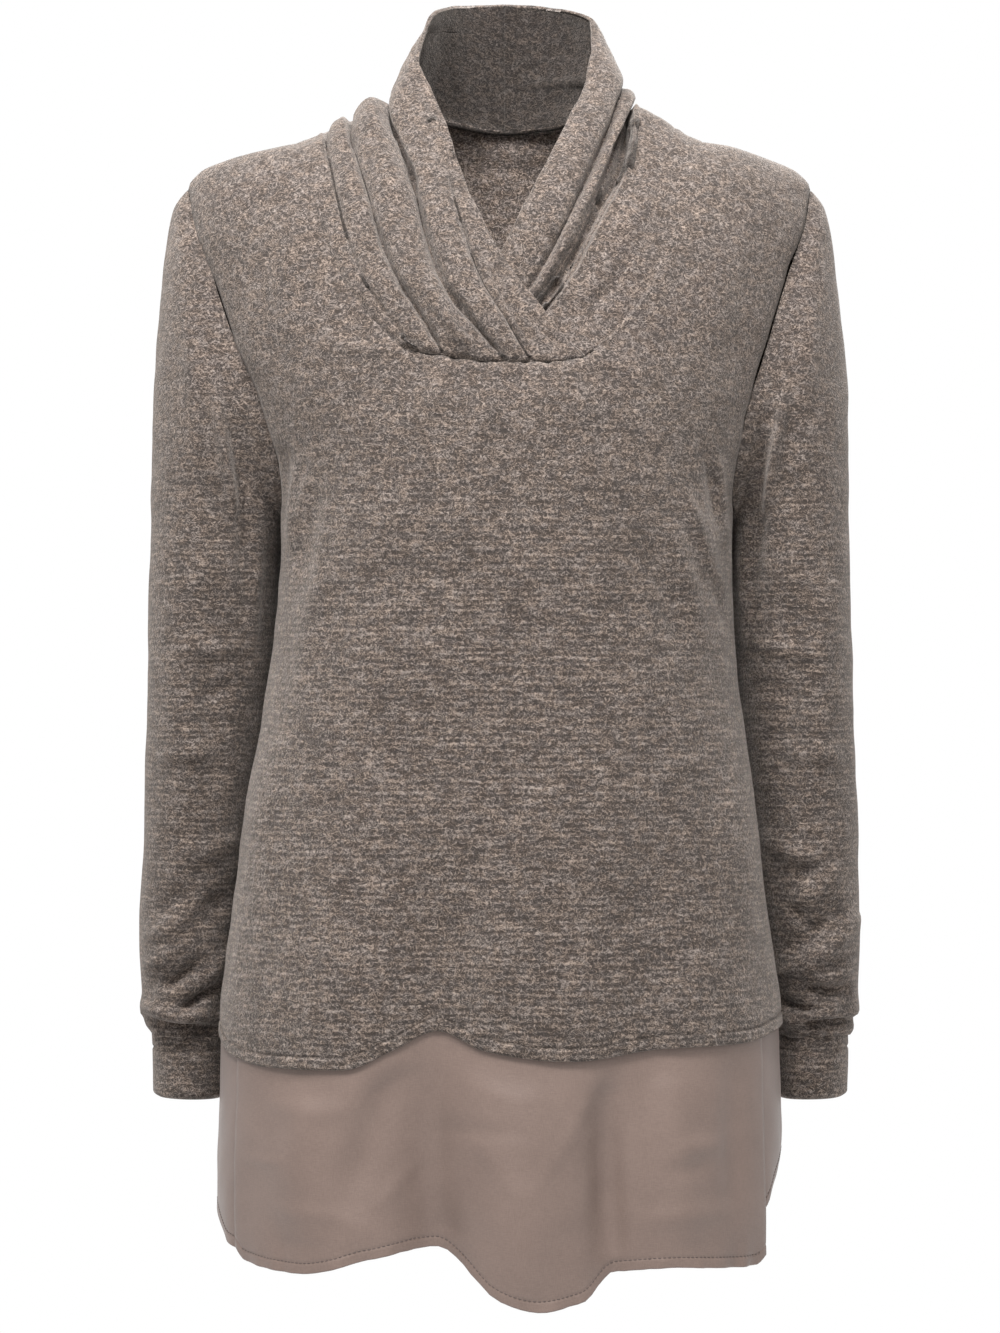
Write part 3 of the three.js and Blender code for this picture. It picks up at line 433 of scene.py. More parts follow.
CUFF_LEFT_CREASES = table(CREASE, [
    (200, -572, 216, -575, 235, -574, 3.2, -8),
    (182, -579, 198, -590, 213, -586, 3.6, -6),
    (196, -594, 220, -601, 246, -595, 3.2, -9.5),
    (188, -597, 208, -594, 226, -588, 3.4, 4.5),
    (181, -565, 214, -556, 243, -523, 6, 6.5),
    (204, -564, 220, -567, 238, -563, 4, 4.5),
    (190, -547, 208, -540, 230, -518, 6, -4),
    (184, -522, 204, -512, 228, -494, 7, 3.6),
    (186, -504, 204, -496, 226, -480, 8, -2.6),
])
COLLAR_RIGHT_CREASES = table(CREASE, [
    (-13, -83, 1, -118, 21, -152, 2.6, -3.38),
    (-24, -90, -6, -126, 12, -154, 3, 2.6),
    (2, -122, 14, -142, 27, -156, 2.2, -2.6),
    (14, -128, 26, -142, 39, -154, 2.4, -2.34),
    (-58, -112, -40, -138, -22, -158, 4, -2.08),
    (-78, -108, -60, -132, -44, -152, 4, -1.56),
    (-34, -126, -20, -144, -6, -158, 3, -2.6),
    (-46, -120, -30, -142, -15, -158, 3, 2.08),
])
COLLAR_LEFT_CREASES = table(CREASE, [
    (38, -136, 70, -124, 78, -100, 5, -2),
    (46, -122, 62, -112, 70, -92, 6, 1.6),
    (96, -40, 88, -62, 72, -92, 9, 1.6),
    (112, -34, 104, -64, 90, -96, 9, -1.2),
])
FRONT_TAIL_CREASES = table(CREASE, [
    (-66, -610, -82, -650, -98, -712, 13, -5.5),
    (-24, -600, -26, -660, -30, -716, 17, 4),
    (-128, -620, -128, -670, -130, -728, 18, 4),
    (70, -612, 66, -670, 72, -736, 9, -5.5),
    (106, -610, 112, -670, 118, -730, 15, 3.6),
    (150, -600, 152, -660, 152, -720, 9, -3),
    (20, -620, 16, -690, 20, -760, 20, 3),
    (-51, -671, -66, -690, -80, -707, 4, 0.9),
    (-15, -656, 0, -680, 15, -701, 3.5, 1.4),
    (62, -618, 50, -654, 15, -701, 3.5, 1.4),
    (-44, -656, -10, -652, 20, -656, 4, -0.8),
    (-164, -677, -148, -679, -135, -677, 3, 0.9),
    (103, -683, 118, -680, 134, -682, 6, -1.4),
    (112, -668, 130, -664, 146, -670, 6, 1.8),
    (84, -716, 120, -706, 160, -712, 7, 1.4),
    (-150, -640, -120, -648, -90, -640, 5, 0.8),
    (-150, -705, -122, -712, -92, -706, 6, 1),
])
BACK_TAIL_CREASES = table(CREASE, [
    (-110, -650, -100, -690, -104, -730, 8, 2),
    (-84, -640, -92, -680, -82, -720, 8, -2),
    (30, -640, 36, -680, 28, -730, 8, 2),
    (100, -660, 120, -670, 144, -668, 7, 1.8),
    (60, -690, 84, -700, 100, -716, 6, 1.6),
])

# Materials: colours and the tones they lie at, how bright other sides are beside the outer one (painted light
# on the body's inner side, painted shade on the collar's and the tails' inner sides), the neck piping's dark
# colour as painted shadow, and surfaces
KNIT_DARK = (0.023, 0.0182, 0.0158)
KNIT_MIDDLE = (0.071, 0.056, 0.048)
KNIT_LIGHT = (0.176, 0.143, 0.123)
KNIT_STOPS = (0.12, 0.45, 0.9)
WARM = (1.03, 1, 0.96)
COOL = (0.97, 1, 1.03)
TINT_STOPS = (0.4, 0.6)
# The collar's inner side is painted darker: painted shade of the hollow inside the collar
COLLAR_INSIDE_PAINTED_SHADE = 0.29
# The inner side of the body, sleeves and cuffs is painted brighter: painted light on the inside seen through
# the neck opening
BODY_INSIDE_PAINTED_LIGHT = 2.4
# The tails' inner side is painted darker: painted shade
WOVEN_INSIDE_PAINTED_SHADE = 0.8
# The neck piping's knit is painted dark: painted shadow along the back neck seam
PIPING_PAINTED_SHADOW = 0.3
WOVEN_LIGHT = (0.110, 0.0765, 0.0628)
WOVEN_DARK = (0.088, 0.0598, 0.0487)
WOVEN_STOPS = (0.3, 0.7)
THREAD_COLOUR = (0.040, 0.026, 0.022)
THREAD_ROUGHNESS = 0.7
KNIT_SURFACE = {
    "Roughness": 0.95, "Specular IOR Level": 0.12, "Sheen Weight": 0.22, "Sheen Roughness": 0.5,
    "Sheen Tint": (0.8, 0.72, 0.66, 1),
}
WOVEN_SURFACE = {"Roughness": 0.5, "Specular IOR Level": 0.42, "Sheen Weight": 0.06}
KNIT_BUMP = (0.5, 0.0012)
WOVEN_BUMP = (0.3, 0.0003)

# Patterns: features a metre, levels of detail, how much finer along each axis, shift, twist and roughness
PATTERNS = {
    "rows": (235, 1, (0.22, 0.22, 1), 0, 0.3, 0.5),
    "drift": (60, 2, (1, 1, 1), 0, 0, 0.5),
    "breaks": (150, 1, (1, 1, 1), 0, 0, 0.5),
    "wide_curls": (250, 1, (1, 1, 1.3), 0, 1.1, 0.5),
    "tight_curls": (380, 1, (1, 1, 1.3), 7.7, 1.1, 0.5),
    "grain": (620, 2, (1, 1, 1.2), 0, 0, 0.65),
    "clouds": (34, 3, (1, 1, 1.4), 0, 0, 0.6),
    "blotches": (110, 2, (0.7, 0.7, 1.5), 3.1, 0.5, 0.5),
    "tints": (140, 2, (1, 1, 1.5), 5.3, 0, 0.5),
    "warp": (2400, 1, (1, 1, 0.12), 0, 0, 0.5),
    "weft": (2400, 1, (0.12, 0.12, 1), 0, 0, 0.5),
    "patches": (22, 4, (1, 1, 1), 0, 0, 0.6),
}
CURL_WEIGHTS = {"wide_curls": 0.46, "tight_curls": 0.36}
CURL_WIDTH = 0.085
TONE_WEIGHTS = {"grain": 0.7, "clouds": 0.15, "blotches": 0.15}
WEAVE_WEIGHTS = {"warp": 0.6, "weft": 0.6, "patches": 0.7}
THREAD_WEIGHTS = {"warp": 0.5, "weft": 0.5}

# Rows of knit stitches: how strongly they show, their height, and how far down from the shoulders they start
BODY_ROWS = 0.6
COLLAR_ROWS = 0.15
ROW_HEIGHT = 0.0039
ROW_DRIFT = 9
ROW_SHARE = 0.32
ROWS_START = -0.09
ROWS_FADE = 0.22

# Each piece's cut in metres: the width and length of its cloth, its area, how it is held, and what holds it
SHEETS = {
    "front": (0.52, 0.62, 0.232, "hung", ("back",)),
    "back": (0.54, 0.64, 0.264, "hung", ("front",)),
    "cowl_right": (0.15, 0.4, 0.041, "gathered", ("front", "back")),
    "cowl_left": (0.15, 0.4, 0.039, "gathered", ("front", "back")),
    "sleeve_right": (0.34, 0.6, 0.132, "hung", ("front", "back")),
    "sleeve_left": (0.34, 0.6, 0.13, "hung", ("front", "back")),
    "cuff_right": (0.176, 0.043, 0.0075, "hung", ("sleeve_right",)),
    "cuff_left": (0.176, 0.043, 0.0075, "hung", ("sleeve_left",)),
    "hem_front": (0.42, 0.18, 0.061, "hung", ("front",)),
    "hem_back": (0.6, 0.18, 0.086, "hung", ("back",)),
}

# The view, the floor and the light, in metres and watts
CAMERA_DISTANCE = 2.8
VIEW_HEIGHT = 0.8887
VIEW_MIDDLE = -0.3577
SENSOR = 36
FLOOR_COLOUR = (0.7, 0.7, 0.7)
FLOOR_ROUGHNESS = 0.9
FLOOR_LEVEL = -1.4
FLOOR_RADIUS = 3
FLOOR_CORNERS = 64
AMBIENT = 1

# Each light's name, place, size and power
LIGHTS = (
    ("key", (-0.7, -1.15, 1.2), 0.5, 66),
    ("top", (0.05, -0.8, 0.75), 0.4, 28),
    ("fill", (0.8, -1.5, 1.1), 0.8, 17),
    ("rear", (0.6, 2.6, 1.1), 1.8, 170),
)
LIGHT_AIM = (0, 0, -0.33)


def mix(a, b, t):
    return a + (b - a) * t


def clamp(t):
    return np.clip(t, 0, 1)


def soft(t):
    """A smooth step from 0 to 1."""
    return t * t * (3 - 2 * t)


def eased(t):
    """A share of the way round a half circle, seen from its side."""
    return (1 - np.cos(np.pi * t)) / 2


def arch(t):
    """1 in the middle and 0 at both ends."""
    return 4 * t * (1 - t)


def unit(v):
    """Vectors brought to a length of 1."""
    length = np.linalg.norm(v, axis=-1, keepdims=True)
    return v / np.where(length > 0, length, 1)


def read(rows, by, column, at):
    """A smooth curve through one column of a table, read at values of another column."""
    x, y = rows[by], rows[column]
    if x[0] > x[-1]:
        x, y = x[::-1], y[::-1]
    slope = np.diff(y) / np.diff(x)
    both = slope[:-1] * slope[1:]
    total = np.where(both > 0, slope[:-1] + slope[1:], 1)
    tangent = np.concatenate([slope[:1], np.where(both > 0, 2 * both / total, 0), slope[-1:]])
    k = np.clip(np.searchsorted(x, at) - 1, 0, len(slope) - 1)
    span = x[k + 1] - x[k]
    t = clamp((at - x[k]) / span)
    a, b, m, n = y[k], y[k + 1], tangent[k] * span, tangent[k + 1] * span
    return a + t * (m + t * (3 * (b - a) - 2 * m - n + t * (m + n - 2 * (b - a))))


def half(z):
    return read(BODY, "level", "half", z)


def middle(z):
    return read(BODY, "level", "middle", z)


def square(z):
    return read(BODY, "level", "square", z)


def body_y(x, z, side):
    """The body's depth under a point seen from the front (side -1) or the back (side 1)."""
    across = clamp(np.abs(x - middle(z)) / half(z))
    n = square(z)
    return side * read(BODY, "level", "front" if side < 0 else "back", z) * (1 - across**n) ** (1 / n)


def body_x(degrees, z):
    """The width from the middle line at an angle round from the front or the back."""
    s = np.sin(np.radians(degrees))
    return middle(z) + half(z) * np.sign(s) * np.abs(s) ** (2 / square(z))


def ridge(x):
    """The height of the shoulder's ridge above a place across it."""
    low, high = np.full(np.shape(x), float(SHOULDER_POINT)), np.full(np.shape(x), float(NECK_TOP))
    for _ in range(RIDGE_STEPS):
        z = (low + high) / 2
        wide = half(z) > np.abs(x - middle(z))
        low, high = np.where(wide, z, low), np.where(wide, high, z)
    return low


def lifted(rows, x, z):
    """How far a table's long folds lift the cloth at a place."""
    total = np.zeros(np.shape(x))
    for k in range(len(rows["lift"])):
        row = {name: rows[name][k] for name in rows}
        along = (z - row["from_z"]) / (row["to_z"] - row["from_z"])
        strength = np.cos(math.pi / 2 * clamp(along)) if row["open"] else np.sin(math.pi * clamp(along))
        off = (x - mix(row["from_x"], row["to_x"], clamp(along))) / row["width"]
        total += row["lift"] * strength * np.exp(-off * off)
    return total


def creased(rows, x, z):
    """How far a table's small creases lift the cloth at a place."""
    total = np.zeros(np.shape(x))
    for k in range(len(rows["lift"])):
        row = {name: rows[name][k] for name in rows}
        steps = np.linspace(0, 1, CREASE_STEPS)
        line_x, line_z = (row[key + "1"] * (1 - steps) ** 2 + 2 * row[key + "2"] * steps * (1 - steps)
                          + row[key + "3"] * steps**2 for key in "xz")
        away = np.full(np.shape(x), FAR)
        share = np.zeros(np.shape(x))
        for a in range(len(steps) - 1):
            dx, dz = line_x[a + 1] - line_x[a], line_z[a + 1] - line_z[a]
            t = clamp(((x - line_x[a]) * dx + (z - line_z[a]) * dz) / (dx * dx + dz * dz))
            d = np.hypot(x - line_x[a] - t * dx, z - line_z[a] - t * dz)
            near = d < away
            away = np.where(near, d, away)
            share = np.where(near, mix(steps[a], steps[a + 1], t), share)
        faded = np.sin(math.pi * share) ** CREASE_FADE
        total += row["lift"] * faded * np.exp(-((away / row["width"]) ** 2))
    return total


def waves(grid, rows, shift=0):
    """The seeded soft unevenness of a table's waves at each point of a grid."""
    total = 0
    for height, size, seed in rows:
        flat = grid.reshape(-1, 3) / size + (seed + shift) * SEED_STEP
        total = total + height * np.array([noise.noise(p) for p in flat.tolist()]).reshape(grid.shape[:2])
    return total


def uneven(grid):
    """The knit's soft unevenness, alike on both sides of every seam, and the slope of its shoulders."""
    out = (np.abs(grid[..., 0]) - SLOPE_AT[0]) / SLOPE_WIDE[0]
    up = (grid[..., 2] - SLOPE_AT[1]) / SLOPE_WIDE[1]
    return waves(grid, KNIT_WAVES) - SLOPE_DROP * np.exp(-out * out - up * up)


def cell_faces(grid, closed):
    """Area vectors of a grid's cells."""
    right = np.roll(grid, -1, axis=1) if closed else grid[:, 1:]
    left = grid if closed else grid[:, :-1]
    return np.cross(right[1:] - left[:-1], left[1:] - right[:-1])


def steadied(found):
    """A tube's area vectors, averaged over some rings where its rings crowd at the seam."""
    sums = np.cumsum(np.concatenate([np.zeros_like(found[:1]), found]), axis=0)
    row = np.arange(len(found))
    spread = np.maximum(STEADY_RINGS - row // STEADY_STEP, 0)
    return sums[np.minimum(row + spread + 1, len(found))] - sums[np.maximum(row - spread, 0)]


def normals(grid, cells, closed):
    """Normals of a grid of points, from the cells that are cloth."""
    faces = cell_faces(grid, closed) * cells[..., None]
    found = np.zeros(grid.shape)
    columns = grid.shape[1]
    count = faces.shape[1]
    for down in (0, 1):
        for over in (0, 1):
            at = (np.arange(count) + over) % columns
            found[down : down + len(faces), at] += faces
    if closed:
        found = steadied(found)
    return unit(found)


def shell(name, grid, thickness, cells=None, closed=False, lean=None, lip=LIP):
    """A closed wall of cloth behind a grid of outer points, with rounded edges. Inner faces have slot 1."""
    rows, columns = grid.shape[:2]
    width = columns if closed else columns - 1
    cells = np.ones((rows - 1, width), bool) if cells is None else cells
    out = normals(grid, cells, closed)
    if lean is not None:
        out = lean(out)
    thick = np.broadcast_to(thickness, (rows, columns))[..., None]
    inner = grid - out * thick
    corner = np.arange(rows * columns).reshape(rows, columns)
    right = np.roll(corner, -1, axis=1)
    quads = [corner[:-1, :width], right[:-1, :width], right[1:, :width], corner[1:, :width]]
    outer_faces = np.stack([q[cells] for q in quads], axis=1)
    count = rows * columns
    inner_faces = outer_faces[:, ::-1] + count
    padded = np.zeros((rows + 1, width + 2), bool)
    padded[1:-1, 1:-1] = cells
    if closed:
        padded[1:-1, 0], padded[1:-1, -1] = cells[:, -1], cells[:, 0]
    edges = []
    for di, dj, a, b in ((-1, 0, 0, 1), (1, 0, 2, 3), (0, -1, 3, 0), (0, 1, 1, 2)):
        beyond = padded[1 + di : rows + di, 1 + dj : 1 + dj + width]
        bare = cells & ~beyond
        edges.append(np.stack([quads[a][bare], quads[b][bare], quads[(a + 3) % 4][bare]], axis=1))
    edges = np.concatenate(edges)
    flat, flat_inner = grid.reshape(-1, 3), inner.reshape(-1, 3)
    push = np.zeros((count, 3))
    along = flat[edges[:, 1]] - flat[edges[:, 0]]
    away = np.cross(along, out.reshape(-1, 3)[edges[:, 0]])
    away /= np.maximum(np.linalg.norm(away, axis=1, keepdims=True), TINY)
    for end in (0, 1):
        np.add.at(push, edges[:, end], away)
    push /= np.maximum(np.linalg.norm(push, axis=1, keepdims=True), TINY)
    rim = np.unique(edges[:, :2])
    rim_place = np.full(count, -1)
    rim_place[rim] = np.arange(len(rim)) + 2 * count
    reach = (np.broadcast_to(lip, (rows, columns))[..., None] * thick).reshape(-1, 1)[rim]
    rim_points = (flat[rim] + flat_inner[rim]) / 2 + push[rim] * reach
    a, b = edges[:, 0], edges[:, 1]
    first = np.stack([b, a, rim_place[a], rim_place[b]], axis=1)
    second = np.stack([rim_place[b], rim_place[a], a + count, b + count], axis=1)
    points = np.concatenate([flat, flat_inner, rim_points]) * MM
    faces = np.concatenate([outer_faces, inner_faces, first, second])
    order = np.arange(len(faces)) // len(outer_faces)
    free = np.broadcast_to(lip, (rows, columns)).reshape(-1)[a] > LIP
    smooth = np.concatenate([np.ones(2 * len(outer_faces), bool), free, free])
    return mesh_object(name, points, faces, (order == 1).astype(int), smooth)


def mesh_object(name, points, faces, slots=None, smooth=None):
    """A mesh object of the points that its faces use, smooth unless told otherwise."""
    used, places = np.unique(faces, return_inverse=True)
    faces = places.reshape(faces.shape)
    mesh = bpy.data.meshes.new(name)
    mesh.from_pydata(points[used].tolist(), [], faces.tolist())
    mesh.polygons.foreach_set("use_smooth", [True] * len(faces) if smooth is None else smooth.tolist())
    if slots is not None:
        mesh.polygons.foreach_set("material_index", slots.tolist())
    mesh.validate()
    mesh.update()
    piece = bpy.data.objects.new(name, mesh)
    bpy.context.scene.collection.objects.link(piece)
    return piece


def armhole(across, side, share):
    """The armhole seam from the underarm (0) to the shoulder point (1)."""
    z = mix(UNDERARM, SHOULDER_POINT, eased(share))
    turned = 90 - ARMHOLE_REACH * clamp(np.sin(np.pi * share)) ** ARMHOLE_ROUNDING
    x = body_x(across * turned, z)
    y = np.where(turned == 90, 0, body_y(x, z, side))
    return np.stack([x, y, z], axis=-1)


def patch(bottom, top, start, end, s, t, ease):
    """A flat patch of x and z between four edges, each a function of points with x first and z last."""
    e = ease(t)[..., None]
    pick = [0, -1]
    first, last = (np.zeros(np.shape(s)), np.ones(np.shape(s)))
    straight = mix(bottom(s)[..., pick], top(s)[..., pick], e)
    at_start = start(t)[..., pick] - mix(bottom(first)[..., pick], top(first)[..., pick], e)
    at_end = end(t)[..., pick] - mix(bottom(last)[..., pick], top(last)[..., pick], e)
    flat = straight + (1 - s)[..., None] * at_start + s[..., None] * at_end
    return flat[..., 0], flat[..., 1]


def even(t):
    return t


def quickly(t):
    return 1 - (1 - t) ** 2


def hem_z(x, side):
    return read(KNIT_HEM, "x", "z", x) + (0 if side < 0 else BACK_HEM_RISE)


def on_body(x, z, side, folds):
    """A point on the body's cloth, moved out by the folds there."""
    y = body_y(x, z, side)
    facing = clamp(np.abs(y) / FOLD_FADE_DEPTH)
    return np.stack([x, y + side * (SEAM_GAP / 2 + facing * lifted(folds, x, z)), z], axis=-1)


def low_rows(columns, side, folds):
    """Rows of the front or back from the hem, where they are closest, up to just under the underarm."""
    zone = HEM_ZONE / (UNDERARM - HEM_LEVEL)
    share = np.concatenate([np.linspace(0, zone, HEM_FINE, endpoint=False),
                            np.linspace(zone, 1, LOW_ROWS * LOW_FINE, endpoint=False)])
    i, j = np.meshgrid(np.arange(LOW_COUNT), np.arange(columns + 1), indexing="ij")
    degrees = side * (90 - 180 * j / columns)
    z = mix(hem_z(body_x(degrees, HEM_LEVEL), side), UNDERARM, share[i])
    return on_body(body_x(degrees, z), z, side, folds)


def underarm(side):
    def line(s):
        return np.stack([body_x(side * (90 - 180 * s), UNDERARM), np.full(np.shape(s), UNDERARM)], axis=-1)

    return line


def shoulder_point(across, share):
    x = across * np.where(share == 0, half(SHOULDER_POINT), mix(SHOULDER_HALF, SEAM_TIP, share))
    return np.stack([x, np.where(share == 0, SHOULDER_POINT, ridge(x))], axis=-1)


def opening_side(across, share):
    x = across * read(OPENING_SIDE, "share", "x", share)
    return np.stack([x, read(OPENING_SIDE, "share", "z", share)], axis=-1)


def chest_seam(share):
    return np.stack([read(CHEST_SEAM, "share", "x", share), read(CHEST_SEAM, "share", "z", share)], axis=-1)


def yoke_line(s):
    """The level line from one armhole to the other by way of the chest seam."""
    inward = clamp(np.minimum(s, 1 - s) / CORNER)[..., None]
    sides = [armhole(across, -1, np.array(SPLIT))[[0, 2]] for across in (-1, 1)]
    right = mix(sides[0], chest_seam(np.array(0.0)), inward)
    left = mix(sides[1], chest_seam(np.array(1.0)), inward)
    between = chest_seam(clamp((s - CORNER) / (1 - 2 * CORNER)))
    outside = np.where((s < 0.5)[..., None], right, left)
    return np.where(inward >= 1, between, outside)


def front_grid():
    """The front, with its columns from the wearer's right to left, and the cells of it that are cloth."""
    shoulder, opening = SHOULDER_COLUMNS * FINE, OPENING_COLUMNS * FINE
    columns = 2 * shoulder + opening
    parts = [low_rows(columns, -1, FRONT_FOLDS)]
    under = UNDER_YOKE_ROWS * FINE
    i, j = np.meshgrid(np.arange(under), np.arange(columns + 1), indexing="ij")
    x, z = patch(underarm(-1), yoke_line, lambda t: armhole(-1, -1, SPLIT * t),
                 lambda t: armhole(1, -1, SPLIT * t), j / columns, i / under, even)
    parts.append(on_body(x, z, -1, FRONT_FOLDS))
    above = YOKE_ROWS * FINE
    i, j = np.meshgrid(np.arange(above + 1), np.arange(columns + 1), indexing="ij")
    line = yoke_line(j / columns)
    x, z = line[..., 0].copy(), line[..., 1].copy()
    for across in (-1, 1):
        part = j <= shoulder if across < 0 else j >= columns - shoulder
        inward = np.where(across < 0, j, columns - j) / shoulder
        px, pz = patch(lambda s: yoke_line(CORNER * s if across < 0 else 1 - CORNER * s),
                       lambda s: shoulder_point(across, s),
                       lambda t: armhole(across, -1, mix(SPLIT, 1, t)), lambda t: opening_side(across, t),
                       clamp(inward), i / above, quickly)
        x, z = np.where(part, px, x), np.where(part, pz, z)
    upper = on_body(x, z, -1, FRONT_FOLDS)
    top = (j <= shoulder) | (j >= columns - shoulder)
    upper[-1, top[-1], 1] = -SEAM_GAP / 2
    parts.append(upper)
    grid = np.concatenate(parts)
    cells = np.ones((len(grid) - 1, columns), bool)
    cells[LOW_COUNT + under :, shoulder : shoulder + opening] = False
    return grid, cells


def back_top(j, fine):
    """The back's top edge from the wearer's left shoulder point over the neck to the right one."""
    gathers, neck = GATHER_COLUMNS * fine, NECK_COLUMNS * fine
    shoulder = SHOULDER_COLUMNS * fine
    side = shoulder + gathers
    across = np.where(j < side + neck / 2, 1, -1)
    k = np.minimum(j, 2 * side + neck - j)
    tip_x = across * np.where(k == 0, half(SHOULDER_POINT), mix(SHOULDER_HALF, SEAM_TIP, k / shoulder))
    neck_x = np.where(across < 0, BACK_NECK["x"][0], BACK_NECK["x"][-1])
    x = np.where(k <= shoulder, tip_x, mix(across * SEAM_TIP, neck_x, clamp((k - shoulder) / gathers)))
    z = np.where(k == 0, SHOULDER_POINT, ridge(x))
    share = clamp(1 - (j - side) / neck)
    round_neck = k >= side
    x = np.where(round_neck, read(BACK_NECK, "share", "x", share), x)
    z = np.where(round_neck, read(BACK_NECK, "share", "z", share), z)
    y = np.where(round_neck, np.maximum(SEAM_GAP / 2, read(BACK_NECK, "share", "y", share)), SEAM_GAP / 2)
    return np.stack([x, y, z], axis=-1)


def back_grid():
    columns = (2 * (SHOULDER_COLUMNS + GATHER_COLUMNS) + NECK_COLUMNS) * FINE
    rows = ARMHOLE_ROWS * FINE
    i, j = np.meshgrid(np.arange(rows + 1), np.arange(columns + 1), indexing="ij")
    x, z = patch(underarm(1), lambda s: back_top(np.round(s * columns), FINE), lambda t: armhole(1, 1, t),
                 lambda t: armhole(-1, 1, t), j / columns, i / rows, quickly)
    upper = on_body(x, z, 1, BACK_FOLDS)
    upper[-1] = back_top(j[-1], FINE)
    return np.concatenate([low_rows(columns, 1, BACK_FOLDS), upper])


def between(points, at):
    """Places between the points of a row, on the straight lines from one to the next."""
    k = np.clip(np.floor(at).astype(int), 0, len(points) - 2)
    return mix(points[k], points[k + 1], (at - k)[..., None])


def sleeve_plain(across, share, w, side):
    def at(column):
        return read(SLEEVE, "share", column, share)

    level = at("inner_level")
    outer = np.stack([across * at("outer"), at("outer_y"), at("outer_level")], axis=-1)
    inner = np.stack([across * (half(level) + at("gap")) + middle(level), at("inner_y"), level], axis=-1)
    p = mix(inner, outer, eased(w)[..., None])
    p[..., 1] += side * at("depth") * np.sin(np.pi * w)
    return p


def sleeve_turns(across, count):
    """Round a sleeve from the underarm: each column's share of the way up to the shoulder, and its side."""
    turn = np.arange(2 * count) / count
    return np.where(turn <= 1, turn, 2 - turn), np.where(turn <= 1, across, -across)


def sleeve_grid(across, rings, count):
    w, side = sleeve_turns(across, count)
    t = np.arange(rings)[:, None] / (rings - 1)
    share = mix(t * t, t, SLEEVE_SPACING) + np.zeros(len(w))
    w, side = w + np.zeros(share.shape), side + np.zeros(share.shape)
    plain = sleeve_plain(across, share, w, side)
    seam = np.where((side < 0)[..., None], armhole(across, -1, w), armhole(across, 1, w))
    seam[..., 0] += across * SEAM_GAP
    seam[..., 1] -= side * SLEEVE_SEAM_TUCK * np.sin(np.pi * w)
    start = sleeve_plain(across, np.zeros(share.shape), w, side)
    start[..., 1] = side * SLEEVE["depth"][0] * np.sin(np.pi * w)
    fade = (1 - quickly(clamp(share / SLEEVE_FADE)))[..., None]
    return plain + (seam - start) * fade


def cuff_grid(across, rings, count):
    w, side = sleeve_turns(across, count)
    top = sleeve_plain(across, np.ones(len(w)), w, side)
    centre = np.array([top[:, 0].mean(), SLEEVE["inner_y"][-1], 0])
    down = np.linspace(0, 1, rings + 1)[:, None]
    shrink = 1 - CUFF_START_TAPER - CUFF_TAPER * down
    grid = np.empty((rings + 1, len(w), 3))
    for axis in (0, 1):
        grid[..., axis] = mix(centre[axis], top[:, axis], shrink)
    grid[..., 2] = top[:, 2] - SEAM_GAP - CUFF_HEIGHT * down
    return grid


def collar_curves(collar, front, back):
    """The collar's four boundaries, as functions of shares of their lengths."""
    across = collar["side"]
    yoke = LOW_COUNT + UNDER_YOKE_ROWS * FINE
    shoulder = SHOULDER_COLUMNS * FINE
    columns = front.shape[1] - 1
    opening = front[yoke:, shoulder if across < 0 else columns - shoulder]
    chest = front[yoke, shoulder : columns - shoulder + 1]
    chest = chest if across < 0 else chest[::-1]
    top = back[-1] if across > 0 else back[-1][::-1]
    neck_start = (SHOULDER_COLUMNS + GATHER_COLUMNS) * FINE

    def open_side(v):
        return between(opening, v * YOKE_ROWS * FINE) + (-across * SEAM_GAP, 0, SEAM_GAP)

    def foot(c):
        p = between(chest, c * collar["foot"] * OPENING_COLUMNS * FINE)
        p[..., 1] += collar["layer"] * clamp(c / COLLAR_TUCK)
        p[..., 2] += SEAM_GAP
        return p

    def shoulder_seam(q):
        p = between(top, (SHOULDER_COLUMNS + GATHER_COLUMNS * q) * FINE)
        p[..., 0] -= across * SEAM_GAP * (1 - q)
        p[..., 1] -= SEAM_GAP
        return p

    def neck(v):
        p = between(top, neck_start + (v - 1) * NECK_COLUMNS * FINE / 2)
        p[..., 0] += across * SEAM_GAP / 2
        p[..., 1] -= np.where(v > 1, 0, SEAM_GAP)
        p[..., 2] += SEAM_GAP
        return p

    def edge(v):
        p = np.stack([read(collar["edge"], "share", key, v) for key in "xyz"], axis=-1)
        p[..., 0] += across * SEAM_GAP / 2
        return p

    return open_side, foot, shoulder_seam, neck, edge


def along_crease(rows, k, v):
    """A crease's value in a table at a height on the collar: 0 at the chest seam, 1 at the shoulder."""
    values = np.array([rows[name][k] for name in DEPTH_COLUMNS])
    stops = {"at": np.linspace(0, 1, len(values)), "value": values}
    return read(stops, "at", "value", clamp(v))


def lobes_over(heights, k, t):
    """A smooth height over a collar's folds: each fold's own at its middle, and the mean of two between."""
    ahead = np.concatenate([-heights[:1], heights, FREE_EDGE * heights[-1:]])
    own, before, after = (np.take_along_axis(ahead, (k + n)[None], 0)[0] for n in (1, 0, 2))
    start, end = (before + own) / 2, (own + after) / 2
    return np.where(t < 0.5, mix(start, own, soft(clamp(2 * t))), mix(own, end, soft(clamp(2 * t - 1))))


